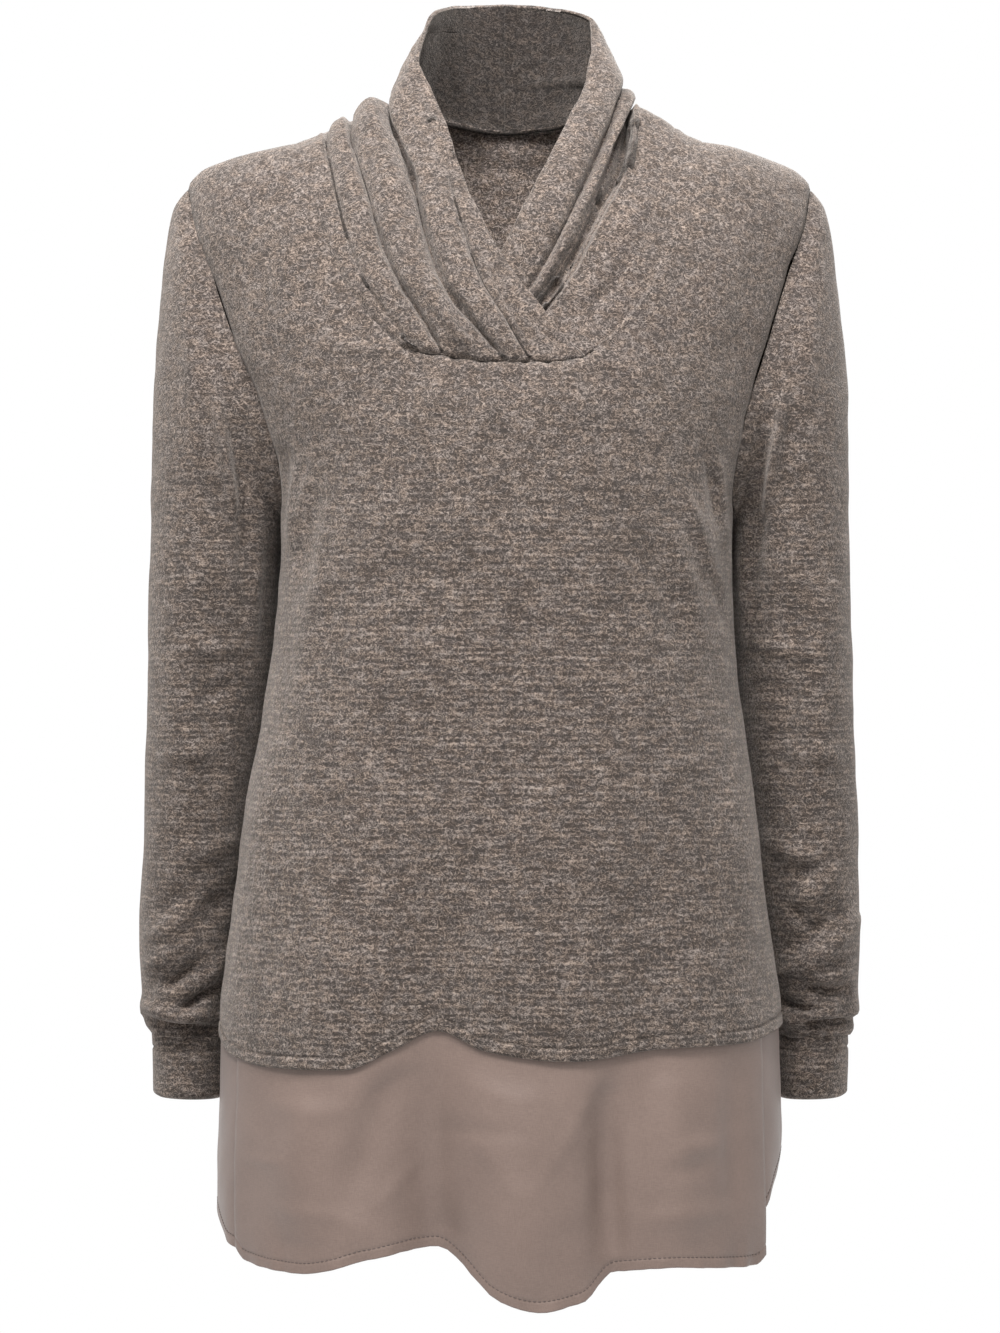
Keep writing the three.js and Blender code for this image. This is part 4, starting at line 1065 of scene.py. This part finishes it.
def collar_base(collar, curves, c, v):
    """The collar before its folds: v runs from the chest seam (0) to the shoulder (1) and centre back (2)."""
    open_side, foot, shoulder_seam, neck, edge = curves
    neck_share = collar["folds"]["shoulder"][collar["neck_fold"]]

    def stand(share, at):
        q = (share - neck_share) / (1 - neck_share)
        p = mix(neck(at), edge(at), q[..., None])
        swell = collar["swell"] * arch(q) * (1 - SWELL_LOSS * clamp(at - 1))
        p[..., :2] += unit(p[..., :2] - NECK_MIDDLE) * swell[..., None]
        return p

    def top(share):
        one = np.ones(np.shape(share))
        sewn = shoulder_seam(clamp(share / neck_share))
        return np.where((share <= neck_share)[..., None], sewn, stand(share, one))

    zero, one = np.zeros(np.shape(c)), np.ones(np.shape(c))
    vs, cs = v[..., None], c[..., None]
    low = clamp(v)
    p = mix(foot(c), top(c), vs)
    p += (open_side(low) - mix(foot(zero), top(zero), vs)) * (1 - cs)
    fix = (foot(one) - edge(zero)) * (1 - clamp(v / EDGE_FOOT))[..., None]
    p += (edge(low) + fix - mix(foot(one), top(one), vs)) * cs
    p[..., 1] -= collar["bulge"] * arch(c) * np.sin(np.pi * low)
    return np.where(vs > 1, stand(c, v), np.where(vs == 1, top(c), p))


def collar_grid(collar, front, back):
    """One collar half: its grid, and its cells that are cloth."""
    curves = collar_curves(collar, front, back)
    folds = collar["folds"]
    lobes = len(folds["height"]) - 1
    columns = lobes * LOBE_STEPS
    start = collar["neck_fold"] * LOBE_STEPS
    i, j = np.meshgrid(np.arange(COWL_ROWS + STAND_ROWS + 1), np.arange(columns + 1), indexing="ij")
    v = np.where(i <= COWL_ROWS, i / COWL_ROWS, 1 + (i - COWL_ROWS) / STAND_ROWS)
    k = np.minimum(lobes - 1, j // LOBE_STEPS)
    t = eased(np.where(j == columns, 1, (j % LOBE_STEPS) / LOBE_STEPS))
    creases, depths = (np.stack([along_crease(rows, n, v) for n in range(lobes + 1)])
                       for rows in (folds, collar["depths"]))
    from_share, to_share = (np.take_along_axis(creases, k[None] + n, 0)[0] for n in (0, 1))
    from_depth, to_depth = (np.take_along_axis(depths, k[None] + n, 0)[0] for n in (0, 1))
    on_seam = clamp((1 - v) / LOBE_FALL)
    at_top = np.where(k < collar["neck_fold"], on_seam, 1 - STAND_SMOOTHING * clamp(v - 1))
    settled = mix(collar["calm"], 1, clamp(v / CALM_HEIGHT)) * clamp(v / LOBE_RISE) * at_top
    puffed = clamp((v - PUFF_START) / PUFF_LENGTH)
    heights = np.stack([mix(folds["height"][n], folds["puff"][n], puffed) for n in range(lobes)])
    valley = 1 - arch(t) ** LOBE_ROUNDING
    height = lobes_over(heights, k, t) * (1 - mix(from_depth, to_depth, t) * valley) * settled
    c = np.where((v > 1) & (j < start), folds["shoulder"][collar["neck_fold"]], mix(from_share, to_share, t))
    grid = collar_base(collar, curves, c, v)
    steps = np.linalg.norm(np.diff(grid, axis=1), axis=2)
    along = np.concatenate([np.zeros((len(grid), 1)), np.cumsum(steps, axis=1)], axis=1)
    from_start = along - np.take_along_axis(along, k * LOBE_STEPS, 1)
    to_end = np.take_along_axis(along, (k + 1) * LOBE_STEPS, 1) - along
    groove = (k > 0) * from_depth * np.exp(-((from_start / CREASE_WIDTH) ** 2))
    groove += (k < lobes - 1) * to_depth * np.exp(-((to_end / CREASE_WIDTH) ** 2))
    groove *= clamp(v / CREASE_START) * clamp((from_start + to_end) / CREASE_ROOM) * at_top
    height -= CREASE_DEPTH * groove
    cells = np.ones((COWL_ROWS + STAND_ROWS, columns), bool)
    cells[COWL_ROWS:, :start] = False
    grid = grid - collar["side"] * normals(grid, cells, False) * height[..., None]
    if collar["side"] > 0:
        return grid[:, ::-1].copy(), cells[:, ::-1].copy()
    return grid, cells


def hem_ring(front, back, side, wrap):
    """The row of hem places that a tail hangs from: one panel's, run on round the sides by the other's."""
    panels = []
    for grid, face in ((front, -1), (back, 1)):
        out = normals(grid[:3], full(grid[:3]), False)[0]
        count = grid.shape[1]
        degrees = face * (90 - 180 * np.arange(count) / (count - 1))
        panels.append((grid[0], out, degrees, np.full(count, face)))
    own, other = panels if side < 0 else panels[::-1]
    return [np.concatenate([b[len(b) - 1 - wrap : -1], a, b[1 : 1 + wrap]])
            for a, b in zip(own, other)]


def tail_grid(front, back, side, inset, wrap, hem, folds):
    """A woven tail below the knit hem, from its lower edge up. Where it wraps round a side it lies inside."""
    place, out, degrees, face = hem_ring(front, back, side, wrap * FINE)
    last = len(place) - 1
    column = np.arange(last + 1)
    under = clamp(np.maximum(wrap - column / FINE, (column - last) / FINE + wrap))
    sewn = place - out * (KNIT + SEAM_GAP + under * (WOVEN + SEAM_GAP))[:, None]
    at = np.arange(int(inset * FINE), last + 1 - int(inset * FINE))
    top, degrees, face = sewn[at], degrees[at], face[at]
    drop = np.concatenate([np.linspace(TAIL_START, 1 - TAIL_ZONE, TAIL_ROWS, endpoint=False),
                           np.linspace(1 - TAIL_ZONE, 1, TAIL_FINE)])[:, None]
    z = mix(top[:, 2], read(hem, "x", "z", top[:, 0]), drop)
    x = body_x(degrees, z) + (top[:, 0] - body_x(degrees, top[:, 2]))
    depth = np.where(face < 0, body_y(x, z, -1) - body_y(top[:, 0], top[:, 2], -1),
                     body_y(x, z, 1) - body_y(top[:, 0], top[:, 2], 1))
    folded = np.where(face == side, side * lifted(folds, x, z), 0) * clamp(drop / TAIL_FOLD_START)
    y = top[:, 1] + depth * TAIL_FOLLOWS_BODY + folded
    return np.stack([x, y, z], axis=-1)[::-1].copy()


def seam_distance(grid, seam):
    """How far each point of a grid lies from a seam's nearest point."""
    flat = grid.reshape(-1, 3)
    nearest = np.full(len(flat), FAR)
    for block in np.array_split(seam, max(1, len(seam) // SEAM_BLOCK)):
        apart = np.linalg.norm(flat[:, None] - block[None], axis=2).min(axis=1)
        nearest = np.minimum(nearest, apart)
    return nearest.reshape(grid.shape[:2])


def seam_roll(grid, seam, depth, width):
    """How far the cloth rolls in towards a seam's line of points."""
    return -depth * np.exp(-((seam_distance(grid, seam) / width) ** 2))


def moved_out(grid, cells, closed, amount):
    return grid + normals(grid, cells, closed) * amount[..., None]


def turned(height, turn, swell=TURN_SWELL):
    """The relief of a turned edge, by the height above it: a groove at the stitches, fuller cloth below."""
    groove = TURN_DEPTH * np.exp(-(((height - turn) / TURN_WIDTH) ** 2))
    return swell * clamp((turn - height) / TURN_WIDTH) - groove


def gathered(grid, seam, name, shift=0):
    """Small puckers that run out from a seam's line of points and die away."""
    height, size, reach, seed = GATHERS[name]
    places = grid[..., [0, 2]].reshape(-1, 2) / (size, size * GATHER_STRETCH)
    wave = np.array([noise.noise((x, seed + shift, z)) for x, z in places.tolist()])
    return height * wave.reshape(grid.shape[:2]) * np.exp(-seam_distance(grid, seam) / reach)


def tube(name, line, radius):
    """A round cord along a line of points."""
    along = unit(np.gradient(line, axis=0))
    across = unit(np.cross(along, (0, 0, 1)))
    up = np.cross(across, along)
    turns = np.arange(PIPING_SIDES) * 2 * math.pi / PIPING_SIDES
    ring = np.cos(turns)[:, None] * across[:, None] + np.sin(turns)[:, None] * up[:, None]
    points = (line[:, None] + radius * ring).reshape(-1, 3)
    corner = np.arange(len(points)).reshape(len(line), PIPING_SIDES)
    right = np.roll(corner, -1, axis=1)
    faces = np.stack([corner[:-1], right[:-1], right[1:], corner[1:]], axis=-1).reshape(-1, 4)
    return mesh_object(name, points * MM, faces)


def upright(out):
    """The collar's two halves meet squarely at the centre back."""
    out = out.copy()
    out[-1, :, 0] = 0
    return unit(out)


def seam_lean(grid):
    """Seams on the plane between front and back lean with that plane."""
    level = np.abs(grid[..., 1]) < LEAN_REACH

    def lean(out):
        out = out.copy()
        out[level, 1] = 0
        return unit(out)

    return lean


def full(grid, closed=False):
    return np.ones((grid.shape[0] - 1, grid.shape[1] - (0 if closed else 1)), bool)


def node_tree(name):
    material = bpy.data.materials.new(name)
    material.use_nodes = True
    tree = material.node_tree
    return material, tree, tree.nodes["Principled BSDF"]


def set_values(node, values):
    for socket, value in values.items():
        node.inputs[socket].default_value = value


def pattern(tree, place, name):
    """A field that varies about 0.5, from its row in the table of patterns."""
    scale, detail, stretch, shift, twist, rough = PATTERNS[name]
    mapping = tree.nodes.new("ShaderNodeMapping")
    set_values(mapping, {"Location": (shift, shift, shift), "Scale": stretch})
    tree.links.new(place, mapping.inputs["Vector"])
    node = tree.nodes.new("ShaderNodeTexNoise")
    set_values(node, {"Scale": scale, "Detail": detail, "Roughness": rough, "Distortion": twist})
    tree.links.new(mapping.outputs["Vector"], node.inputs["Vector"])
    return node.outputs["Fac"]


def ramp(tree, source, stops, colours):
    node = tree.nodes.new("ShaderNodeValToRGB")
    elements = node.color_ramp.elements
    while len(elements) < len(stops):
        elements.new(0.5)
    for k, at in enumerate(stops):
        elements[k].position = at
        elements[k].color = (*colours[k], 1)
    tree.links.new(source, node.inputs["Fac"])
    return node.outputs["Color"]


def math_node(tree, operation, *values, clamped=False):
    node = tree.nodes.new("ShaderNodeMath")
    node.operation = operation
    node.use_clamp = clamped
    for k, value in enumerate(values):
        if isinstance(value, (int, float)):
            node.inputs[k].default_value = value
        else:
            tree.links.new(value, node.inputs[k])
    return node.outputs[0]


def weighted(tree, parts):
    """The sum of fields that vary about 0.5, each by its weight, about 0.5 again."""
    total = 0.5
    for field, weight in parts:
        part = math_node(tree, "MULTIPLY", math_node(tree, "SUBTRACT", field, 0.5), weight)
        total = math_node(tree, "ADD", total, part)
    return total


def curls(tree, place, name):
    """Thin curled fibres: 1 along the middle level of a pattern, and 0 away from it."""
    away = math_node(tree, "ABSOLUTE", math_node(tree, "SUBTRACT", pattern(tree, place, name), 0.5))
    return math_node(tree, "SUBTRACT", 1, math_node(tree, "DIVIDE", away, CURL_WIDTH), clamped=True)


def stitch_rows(tree, place):
    """Broken level rows of stitches, about 0.5. They begin below the shoulders."""
    axes = tree.nodes.new("ShaderNodeSeparateXYZ")
    tree.links.new(place, axes.inputs[0])
    height = axes.outputs["Z"]
    low = math_node(tree, "DIVIDE", math_node(tree, "SUBTRACT", ROWS_START, height), ROWS_FADE, clamped=True)
    drift = math_node(tree, "MULTIPLY", pattern(tree, place, "drift"), ROW_DRIFT)
    turns = math_node(tree, "ADD", math_node(tree, "MULTIPLY", height, 2 * math.pi / ROW_HEIGHT), drift)
    regular = math_node(tree, "MULTIPLY", math_node(tree, "SINE", turns), pattern(tree, place, "breaks"))
    regular = math_node(tree, "MULTIPLY", regular, ROW_SHARE)
    rows = math_node(tree, "ADD", pattern(tree, place, "rows"), regular)
    shown = math_node(tree, "MULTIPLY", math_node(tree, "SUBTRACT", rows, 0.5), low)
    return math_node(tree, "ADD", 0.5, shown)


def bumped(tree, principled, height, strength, distance):
    bump = tree.nodes.new("ShaderNodeBump")
    set_values(bump, {"Strength": strength, "Distance": distance})
    tree.links.new(height, bump.inputs["Height"])
    tree.links.new(bump.outputs["Normal"], principled.inputs["Normal"])


def shaded(colours, shade):
    return [tuple(shade * part for part in colour) for colour in colours]


def knit_material(name, rowed, shade=1):
    """Marled brushed knit: curled light fibres on dark gaps, with rows of stitches as strong as rowed."""
    material, tree, principled = node_tree(name)
    place = tree.nodes.new("ShaderNodeTexCoord").outputs["Object"]
    parts = [(curls(tree, place, curl), weight) for curl, weight in CURL_WEIGHTS.items()]
    parts += [(pattern(tree, place, kind), weight) for kind, weight in TONE_WEIGHTS.items()]
    tone = weighted(tree, [*parts, (stitch_rows(tree, place), rowed)])
    marled = ramp(tree, tone, KNIT_STOPS, shaded((KNIT_DARK, KNIT_MIDDLE, KNIT_LIGHT), shade))
    mixed = tree.nodes.new("ShaderNodeMix")
    mixed.data_type = "RGBA"
    mixed.blend_type = "MULTIPLY"
    mixed.inputs["Factor"].default_value = 1
    tree.links.new(marled, mixed.inputs["A"])
    tree.links.new(ramp(tree, pattern(tree, place, "tints"), TINT_STOPS, (COOL, WARM)), mixed.inputs["B"])
    tree.links.new(mixed.outputs["Result"], principled.inputs["Base Color"])
    bumped(tree, principled, tone, *KNIT_BUMP)
    set_values(principled, KNIT_SURFACE)
    return material


def woven_material(name, shade=1):
    """Smooth plain weave with a slight sheen."""
    material, tree, principled = node_tree(name)
    place = tree.nodes.new("ShaderNodeTexCoord").outputs["Object"]
    fields = {kind: pattern(tree, place, kind) for kind in WEAVE_WEIGHTS}
    tone, threads = (weighted(tree, [(fields[kind], weight) for kind, weight in weights.items()])
                     for weights in (WEAVE_WEIGHTS, THREAD_WEIGHTS))
    colour = ramp(tree, tone, WOVEN_STOPS, shaded((WOVEN_DARK, WOVEN_LIGHT), shade))
    tree.links.new(colour, principled.inputs["Base Color"])
    bumped(tree, principled, threads, *WOVEN_BUMP)
    set_values(principled, WOVEN_SURFACE)
    return material


def plain_material(name, colour, roughness):
    material, _, principled = node_tree(name)
    set_values(principled, {"Base Color": (*colour, 1), "Roughness": roughness})
    return material


def dress(piece, materials, node):
    """Gives a piece its outer and inner materials, and sets it in place of its solid."""
    for material in materials:
        piece.data.materials.append(material)
    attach(piece, "root")
    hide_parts(node)


def stitches(name, line, outward):
    """A row of sewn stitches along a line of points, each a small raised bar."""
    steps = np.linalg.norm(np.diff(line, axis=0), axis=1)
    along = np.concatenate([[0], np.cumsum(steps)])
    points, faces = [], []
    at = STITCH_LENGTH
    while at + STITCH_LENGTH < along[-1]:
        start, end = (np.array([np.interp(place, along, line[:, axis]) for axis in range(3)])
                      for place in (at, at + STITCH_LENGTH))
        up = np.array([np.interp(at, along, outward[:, axis]) for axis in range(3)])
        side = np.cross((end - start) / np.linalg.norm(end - start), up) * STITCH_WIDTH
        base = len(points)
        for share, rise, wide in STITCH_SHAPE:
            p = mix(start, end, share)
            points += [p - side * wide, p + up * (rise + STITCH_WIDTH), p + side * wide]
        for k in range(base, len(points) - 3, 3):
            faces += [(k, k + 1, k + 4, k + 3), (k + 1, k + 2, k + 5, k + 4)]
        at += STITCH_LENGTH + STITCH_SPACE
    return mesh_object(name, np.array(points) * MM, np.array(faces))


def build_camera():
    camera = bpy.data.cameras.new("camera")
    camera.sensor_width = SENSOR
    camera.lens = SENSOR * CAMERA_DISTANCE / VIEW_HEIGHT
    holder = bpy.data.objects.new("camera", camera)
    bpy.context.scene.collection.objects.link(holder)
    holder.location = (0, -CAMERA_DISTANCE, VIEW_MIDDLE)
    holder.rotation_euler = (math.pi / 2, 0, 0)
    bpy.context.scene.camera = holder


def area_light(name, place, aim, size, power):
    light = bpy.data.lights.new(name, "AREA")
    light.shape = "DISK"
    light.size = size
    light.energy = power
    holder = bpy.data.objects.new(name, light)
    bpy.context.scene.collection.objects.link(holder)
    holder.location = place
    holder.rotation_euler = (Vector(aim) - Vector(place)).to_track_quat("-Z", "Y").to_euler()


def build_studio():
    bpy.context.scene.view_settings.view_transform = "Standard"
    world = bpy.data.worlds.new("studio")
    world.use_nodes = True
    set_values(world.node_tree.nodes["Background"], {"Color": (1, 1, 1, 1), "Strength": AMBIENT})
    bpy.context.scene.world = world
    for name, place, size, power in LIGHTS:
        area_light(name, place, LIGHT_AIM, size, power)
    turns = np.linspace(0, 2 * math.pi, FLOOR_CORNERS, endpoint=False)
    ring = np.stack([np.cos(turns), np.sin(turns), np.zeros(FLOOR_CORNERS)], axis=1) * FLOOR_RADIUS
    floor = mesh_object("floor", ring + (0, 0, FLOOR_LEVEL), np.arange(FLOOR_CORNERS)[None])
    floor.data.materials.append(plain_material("floor", FLOOR_COLOUR, FLOOR_ROUGHNESS))


def seam_lines(front, back):
    """The seams, as points."""
    yoke = LOW_COUNT + UNDER_YOKE_ROWS * FINE
    shoulder = SHOULDER_COLUMNS * FINE
    across = front.shape[1] - 1 - shoulder
    neck = (SHOULDER_COLUMNS + GATHER_COLUMNS) * FINE
    return {
        "arm_right": np.concatenate([front[LOW_COUNT:, 0], back[LOW_COUNT:, -1]]),
        "arm_left": np.concatenate([front[LOW_COUNT:, -1], back[LOW_COUNT:, 0]]),
        "opening": np.concatenate([front[yoke:, shoulder], front[yoke:, across]]),
        "chest": front[yoke, shoulder : across + 1],
        "sides": np.concatenate([front[:LOW_COUNT:2, 0], front[:LOW_COUNT:2, -1]]),
        "shoulders": np.concatenate([front[-1, : shoulder + 1], front[-1, across:]]),
        "neck": back[-1, neck:-neck],
    }


def rolled(grid, seams, names):
    """How far the cloth rolls in at its seams, and at the gathered chest seam how it puffs out beside it."""
    relief = sum(seam_roll(grid, seams[name], SEAM_DEPTH, SEAM_WIDTH) for name in names if name != "chest")
    if "chest" in names:
        relief = relief + seam_roll(grid, seams["chest"], CHEST_DEPTH, CHEST_WIDTH)
        relief = relief - seam_roll(grid, seams["chest"], CHEST_PUFF, CHEST_PUFF_AT)
    return relief


def edge_lips(grid, row=None, column=None):
    """How far a wall's rim bulges, as shares of its thickness: fuller at a free edge than at seams."""
    lips = np.full(grid.shape[:2], LIP)
    if row is not None:
        lips[row] = EDGE_LIP
    if column is not None:
        lips[:, column] = EDGE_LIP
    return lips


def build_body(front, cells, back, seams):
    relief = creased(FRONT_CREASES, front[..., 0], front[..., 2]) + uneven(front)
    relief += rolled(front, seams, ("arm_right", "arm_left", "opening", "sides", "shoulders", "chest"))
    for seam in ("chest", "arm_left", "arm_right"):
        relief += gathered(front, seams[seam], f"front_{seam}")
    relief += turned(front[..., 2] - front[:1, :, 2], KNIT_TURN)
    moved = moved_out(front, cells, False, relief)
    lips = edge_lips(front, row=0)
    yield "front", shell("front_cloth", moved, KNIT, cells, lean=seam_lean(front), lip=lips)
    relief = creased(BACK_CREASES, back[..., 0], back[..., 2]) + uneven(back)
    relief += rolled(back, seams, ("arm_right", "arm_left", "sides", "shoulders", "neck"))
    relief += turned(back[..., 2] - back[:1, :, 2], KNIT_TURN)
    moved = moved_out(back, full(back), False, relief)
    lips = edge_lips(back, row=0)
    neck = (SHOULDER_COLUMNS + GATHER_COLUMNS) * FINE
    lips[-1, neck:-neck] = NECK_LIP
    yield "back", shell("back_cloth", moved, KNIT, lean=seam_lean(back), lip=lips)


def build_sleeve(name, across, small, seams):
    grid = sleeve_grid(across, SLEEVE_RINGS, ARMHOLE_ROWS * SLEEVE_FINE)
    relief = creased(SLEEVE_CREASES, np.abs(grid[..., 0]), grid[..., 2])
    relief += creased(small, grid[..., 0], grid[..., 2])
    relief *= clamp(np.arange(len(grid)) / SLEEVE_CALM_RINGS)[:, None]
    relief += uneven(grid) + rolled(grid, seams, (f"arm_{name}",))
    relief += gathered(grid, grid[-1], "sleeve_end", across)
    moved = moved_out(grid, full(grid, True), True, relief)
    yield f"sleeve_{name}", shell(f"sleeve_{name}_cloth", moved, KNIT, closed=True)
    grid = cuff_grid(across, CUFF_ROWS, ARMHOLE_ROWS * SLEEVE_FINE)
    below = grid[:1, :, 2] - grid[..., 2]
    relief = uneven(grid) + CUFF_SEWING * turned(below, CUFF_TURN, 0)
    relief -= CUFF_ROUND * clamp(1 - (CUFF_HEIGHT - below) / CUFF_ROUND) ** 2
    relief += gathered(grid, grid[0], "cuff_top", across)
    moved = moved_out(grid, full(grid, True), True, relief)
    lips = edge_lips(grid, row=-1)
    yield f"cuff_{name}", shell(f"cuff_{name}_cloth", moved, KNIT, closed=True, lip=lips)


def build_collar(name, across, small, front, back, seams):
    grid, cells = collar_grid(COLLARS[name], front, back)
    facing = clamp(-grid[..., 1] / COLLAR_FACING)
    relief = uneven(grid) + waves(grid, COLLAR_WAVES)
    relief += facing * creased(small, grid[..., 0], grid[..., 2])
    relief += rolled(grid, seams, ("opening", "shoulders", "neck", "chest"))
    relief += gathered(grid, seams["chest"], "collar_chest", across) * facing
    relief += gathered(grid, seams["shoulders"], "collar_shoulder", across)
    moved = moved_out(grid, cells, False, relief)
    lips = edge_lips(grid, column=-1 if across < 0 else 0)
    start = COLLARS[name]["neck_fold"] * LOBE_STEPS
    lips[COWL_ROWS:, start if across < 0 else grid.shape[1] - 1 - start] = EDGE_LIP
    yield f"cowl_{name}", shell(f"cowl_{name}_cloth", moved, DOUBLED, cells, lean=upright, lip=lips)


def build_tail(name, front, back, side, size, hem, folds, small):
    """A woven tail and its row of stitches."""
    grid = tail_grid(front, back, side, hem=hem, folds=folds, **size)
    relief = creased(small, grid[..., 0], grid[..., 2]) + waves(grid, TAIL_WAVES, side)
    relief *= clamp((len(grid) - TAIL_SEWN_ROWS - np.arange(len(grid))) / TAIL_CALM_ROWS)[:, None]
    above = grid[..., 2] - grid[:1, :, 2]
    relief += gathered(grid, grid[0], "tail_hem", side)
    moved = moved_out(grid, full(grid), False, relief + WOVEN_TURN_SHARE * turned(above, WOVEN_TURN))
    out = normals(moved, full(moved), False)
    row = np.argmin(np.abs(above - WOVEN_TURN), axis=0)
    column = np.arange(grid.shape[1])
    row, column = row[STITCH_MARGIN:-STITCH_MARGIN], column[STITCH_MARGIN:-STITCH_MARGIN]
    sewing = stitches(f"{name}_stitches", moved[row, column], out[row, column])
    lips = edge_lips(grid, row=0)
    lips[:, [0, -1]] = EDGE_LIP
    return shell(f"{name}_cloth", moved, WOVEN, lip=lips), sewing


def build_garment():
    # The body's inner side gets a brighter copy of its knit: painted light
    body = [knit_material("knit_rowed", BODY_ROWS), knit_material("body_inside_painted_light", BODY_ROWS, BODY_INSIDE_PAINTED_LIGHT)]
    # The collar's inner side gets a darker copy of its knit: painted shade
    collar = [knit_material("knit_brushed", COLLAR_ROWS),
              knit_material("collar_inside_painted_shade", COLLAR_ROWS, COLLAR_INSIDE_PAINTED_SHADE)]
    # The tails' inner side gets a darker copy of the weave: painted shade
    woven = [woven_material("woven"), woven_material("woven_inside_painted_shade", WOVEN_INSIDE_PAINTED_SHADE)]
    thread = plain_material("thread", THREAD_COLOUR, THREAD_ROUGHNESS)
    front, front_cells = front_grid()
    back = back_grid()
    seams = seam_lines(front, back)
    pieces = dict(build_body(front, front_cells, back, seams))
    for name, across, cuff_creases, collar_creases in (
        ("right", -1, CUFF_RIGHT_CREASES, COLLAR_RIGHT_CREASES),
        ("left", 1, CUFF_LEFT_CREASES, COLLAR_LEFT_CREASES),
    ):
        pieces.update(build_sleeve(name, across, cuff_creases, seams))
        pieces.update(build_collar(name, across, collar_creases, front, back, seams))
    for name, piece in pieces.items():
        dress(piece, collar if name.startswith("cowl") else body, name)
    extras = {}
    for name, *tail in (
        ("hem_front", -1, FRONT_TAIL, FRONT_TAIL_HEM, FRONT_TAIL_FOLDS, FRONT_TAIL_CREASES),
        ("hem_back", 1, BACK_TAIL, BACK_TAIL_HEM, BACK_TAIL_FOLDS, BACK_TAIL_CREASES),
    ):
        pieces[name], sewing = build_tail(name, front, back, *tail)
        dress(pieces[name], woven, name)
        sewing.data.materials.append(thread)
        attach(sewing, "root")
        extras[name] = [sewing]
    inward = unit(seams["neck"] * (-1, -1, 0) + (*NECK_MIDDLE, 0))
    piping_painted_shadow = tube("neck_piping", seams["neck"] + inward * PIPING_IN, PIPING_RADIUS)
    # The piping's knit is painted dark: painted shadow of the back neck seam's fold
    piping_painted_shadow.data.materials.append(knit_material("piping_painted_shadow", 0, PIPING_PAINTED_SHADOW))
    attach(piping_painted_shadow, "root")
    extras["back"] = [piping_painted_shadow]
    for name, (width, length, area, held, carriers) in SHEETS.items():
        [pieces[carrier] for carrier in carriers]
        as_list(extras.get(name, []))


build_camera()
build_studio()
build_garment()
